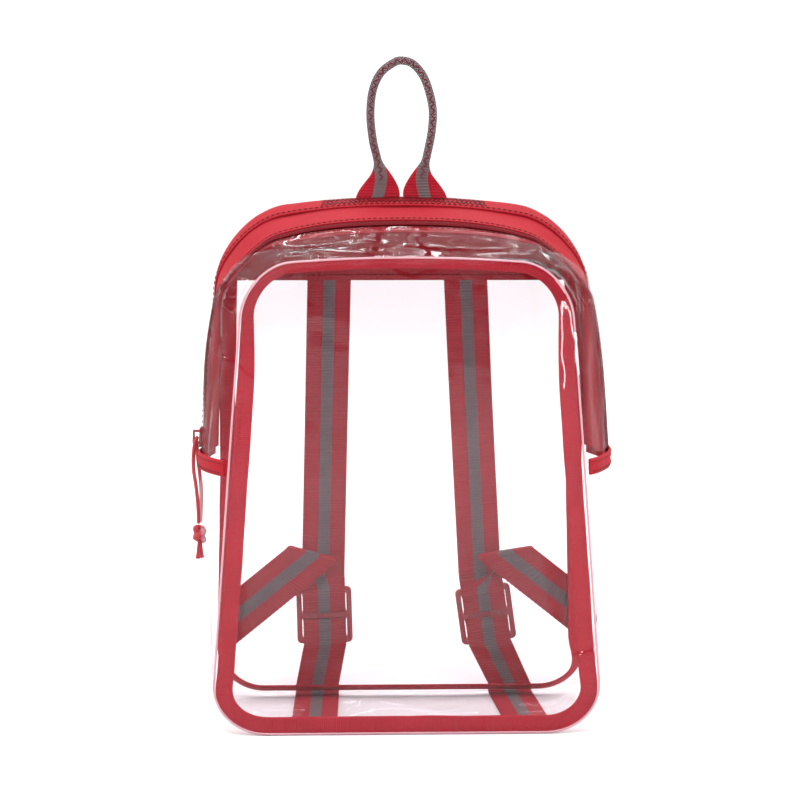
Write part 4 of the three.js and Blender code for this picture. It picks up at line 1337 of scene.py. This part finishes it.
boxes = []
for strap in strap_sets:
    x, z = strap["top"] * back_half_width, buckle_middle + strap_drop
    y = layer_sewn + webbing_thickness / 2 + 0.1
    for low, high in ((-5, -24), (-26, -38)):
        a, b = Vector((x - 10, y, z + low)), Vector((x + 10, y, z + low))
        c, d = Vector((x + 10, y, z + high)), Vector((x - 10, y, z + high))
        boxes += dashes_between([a, b, c, d, a, c], backwards) + dashes_between([b, d], backwards)
sew("stitches_strap_boxes", boxes, thread)

grip, grip_step = [], 5
for n, i in enumerate(range(24, 372, grip_step)):
    ends = []
    for k, side in ((i, n % 2), (i + grip_step, (n + 1) % 2)):
        centre, across, _, deep, _ = loop_frame(k)
        ends.append(centre + across * ((side - 0.5) * 2.6) + Vector((0, -deep - 0.05, 0)))
    grip.append((*ends, forwards))
sew("stitches_grip", grip, thread)

# %% [markdown]
# ## Floor, backdrop and light
# The bag stands on a pale floor that runs on to the horizon, where the equally bright sky takes over, so the
# picture has no edge between them. The sky is brightest overhead and low down behind, as in a studio with a lit
# backdrop, and dimmer towards the camera, so that the film mirrors little of it and stays clear. Behind the bag
# it also holds a comb of narrow bright bands, like a wall of tube lamps, which the folds of the film mirror as
# crisp white streaks. Long narrow softboxes do the same from the sides.

# %% Floor
bpy.ops.object.select_all(action="DESELECT")
bpy.ops.mesh.primitive_plane_add(size=60)
floor = bpy.context.active_object
floor.name = "studio_floor"
floor_material, tree, output = new_material("pale matt studio floor")
grain = add_node(tree, "ShaderNodeTexNoise", Vector=solid_place(tree), Scale=3.0, Detail=2.0)
pale = blend_colours(tree, grain.outputs[0], colour("E8E8E8"), colour("EBEBEB"))
shader = add_node(tree, "ShaderNodeBsdfDiffuse", Color=pale, Roughness=0.5)
tree.links.new(shader.outputs[0], output.inputs["Surface"])
floor.data.materials.append(floor_material)
floor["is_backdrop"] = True

# %% Sky
world = bpy.data.worlds.new("studio sky")
bpy.context.scene.world = world
world.use_nodes = True
sky = world.node_tree
sky.nodes.clear()
direction = add_node(sky, "ShaderNodeSeparateXYZ", Vector=sky.nodes.new("ShaderNodeTexCoord").outputs["Generated"])
_, backwards_share, height = direction.outputs


def eased_light(value, low, high, start, end):
    """Light that goes smoothly from start to end as the value goes from low to high."""
    return add_node(sky, "ShaderNodeMapRange", {"interpolation_type": "SMOOTHSTEP"}, Value=value,
                    From_Min=low, From_Max=high, To_Min=start, To_Max=end).outputs[0]


band_pitch, band_sharpness, band_light, lowest_band = 0.13, 24.0, 5.0, 0.07
behind = eased_light(backwards_share, -0.5, 0.5, 0.15, 1.2)
overhead = eased_light(height, 0.3, 0.95, 0.0, 1.6)
low_glow = eased_light(height, 0.065, 0.13, 1.0, 0.3)
comb = maths(sky, "COSINE", maths(sky, "MULTIPLY", height, 2 * math.pi / band_pitch))
teeth = maths(sky, "POWER", maths(sky, "MULTIPLY_ADD", comb, 0.5, 0.5), band_sharpness)
bands = maths(sky, "MULTIPLY", teeth, band_light)
above = maths(sky, "GREATER_THAN", height, lowest_band)
glow = maths(sky, "MULTIPLY_ADD", bands, above, low_glow)
strength = maths(sky, "MULTIPLY_ADD", behind, glow, overhead)
background = add_node(sky, "ShaderNodeBackground", Color=(1, 1, 1, 1), Strength=strength)
add_node(sky, "ShaderNodeOutputWorld", Surface=background.outputs[0])

# %% Softboxes
lamp_target = Vector((0, 0, 0.17))


def softbox(name, place, size, watts):
    """A rectangular lamp that looks at the bag."""
    lamp = bpy.data.lights.new(name, "AREA")
    lamp.shape = "RECTANGLE"
    lamp.size, lamp.size_y = size
    lamp.energy = watts
    holder = bpy.data.objects.new(name, lamp)
    bpy.context.scene.collection.objects.link(holder)
    holder.location = place
    holder.rotation_euler = (lamp_target - Vector(place)).to_track_quat("-Z", "Y").to_euler()
    return holder


softbox("strip_left", (-1.6, -1.1, 0.9), (0.06, 1.6), 8)
softbox("strip_right", (1.5, -1.3, 0.8), (0.06, 1.6), 6)
softbox("overhead_front", (-0.3, -1.0, 1.9), (1.4, 0.12), 12)
softbox("broad_front", (0.4, -2.4, 1.6), (1.2, 1.2), 9)
softbox("strip_low_front", (0.7, -2.1, 0.35), (0.05, 0.9), 4)
softbox("strip_behind", (0.1, 1.7, 1.5), (1.8, 0.08), 12)
softbox("strip_behind_left", (-1.7, 1.1, 1.0), (0.08, 1.4), 7)
softbox("strip_behind_right", (1.7, 1.1, 1.0), (0.08, 1.4), 7)
bpy.context.scene.view_settings.view_transform = "Standard"

# %% Print the visual box
low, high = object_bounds()
print("visual box in mm:", [round(x / MM, 1) for x in (*low, *high)])
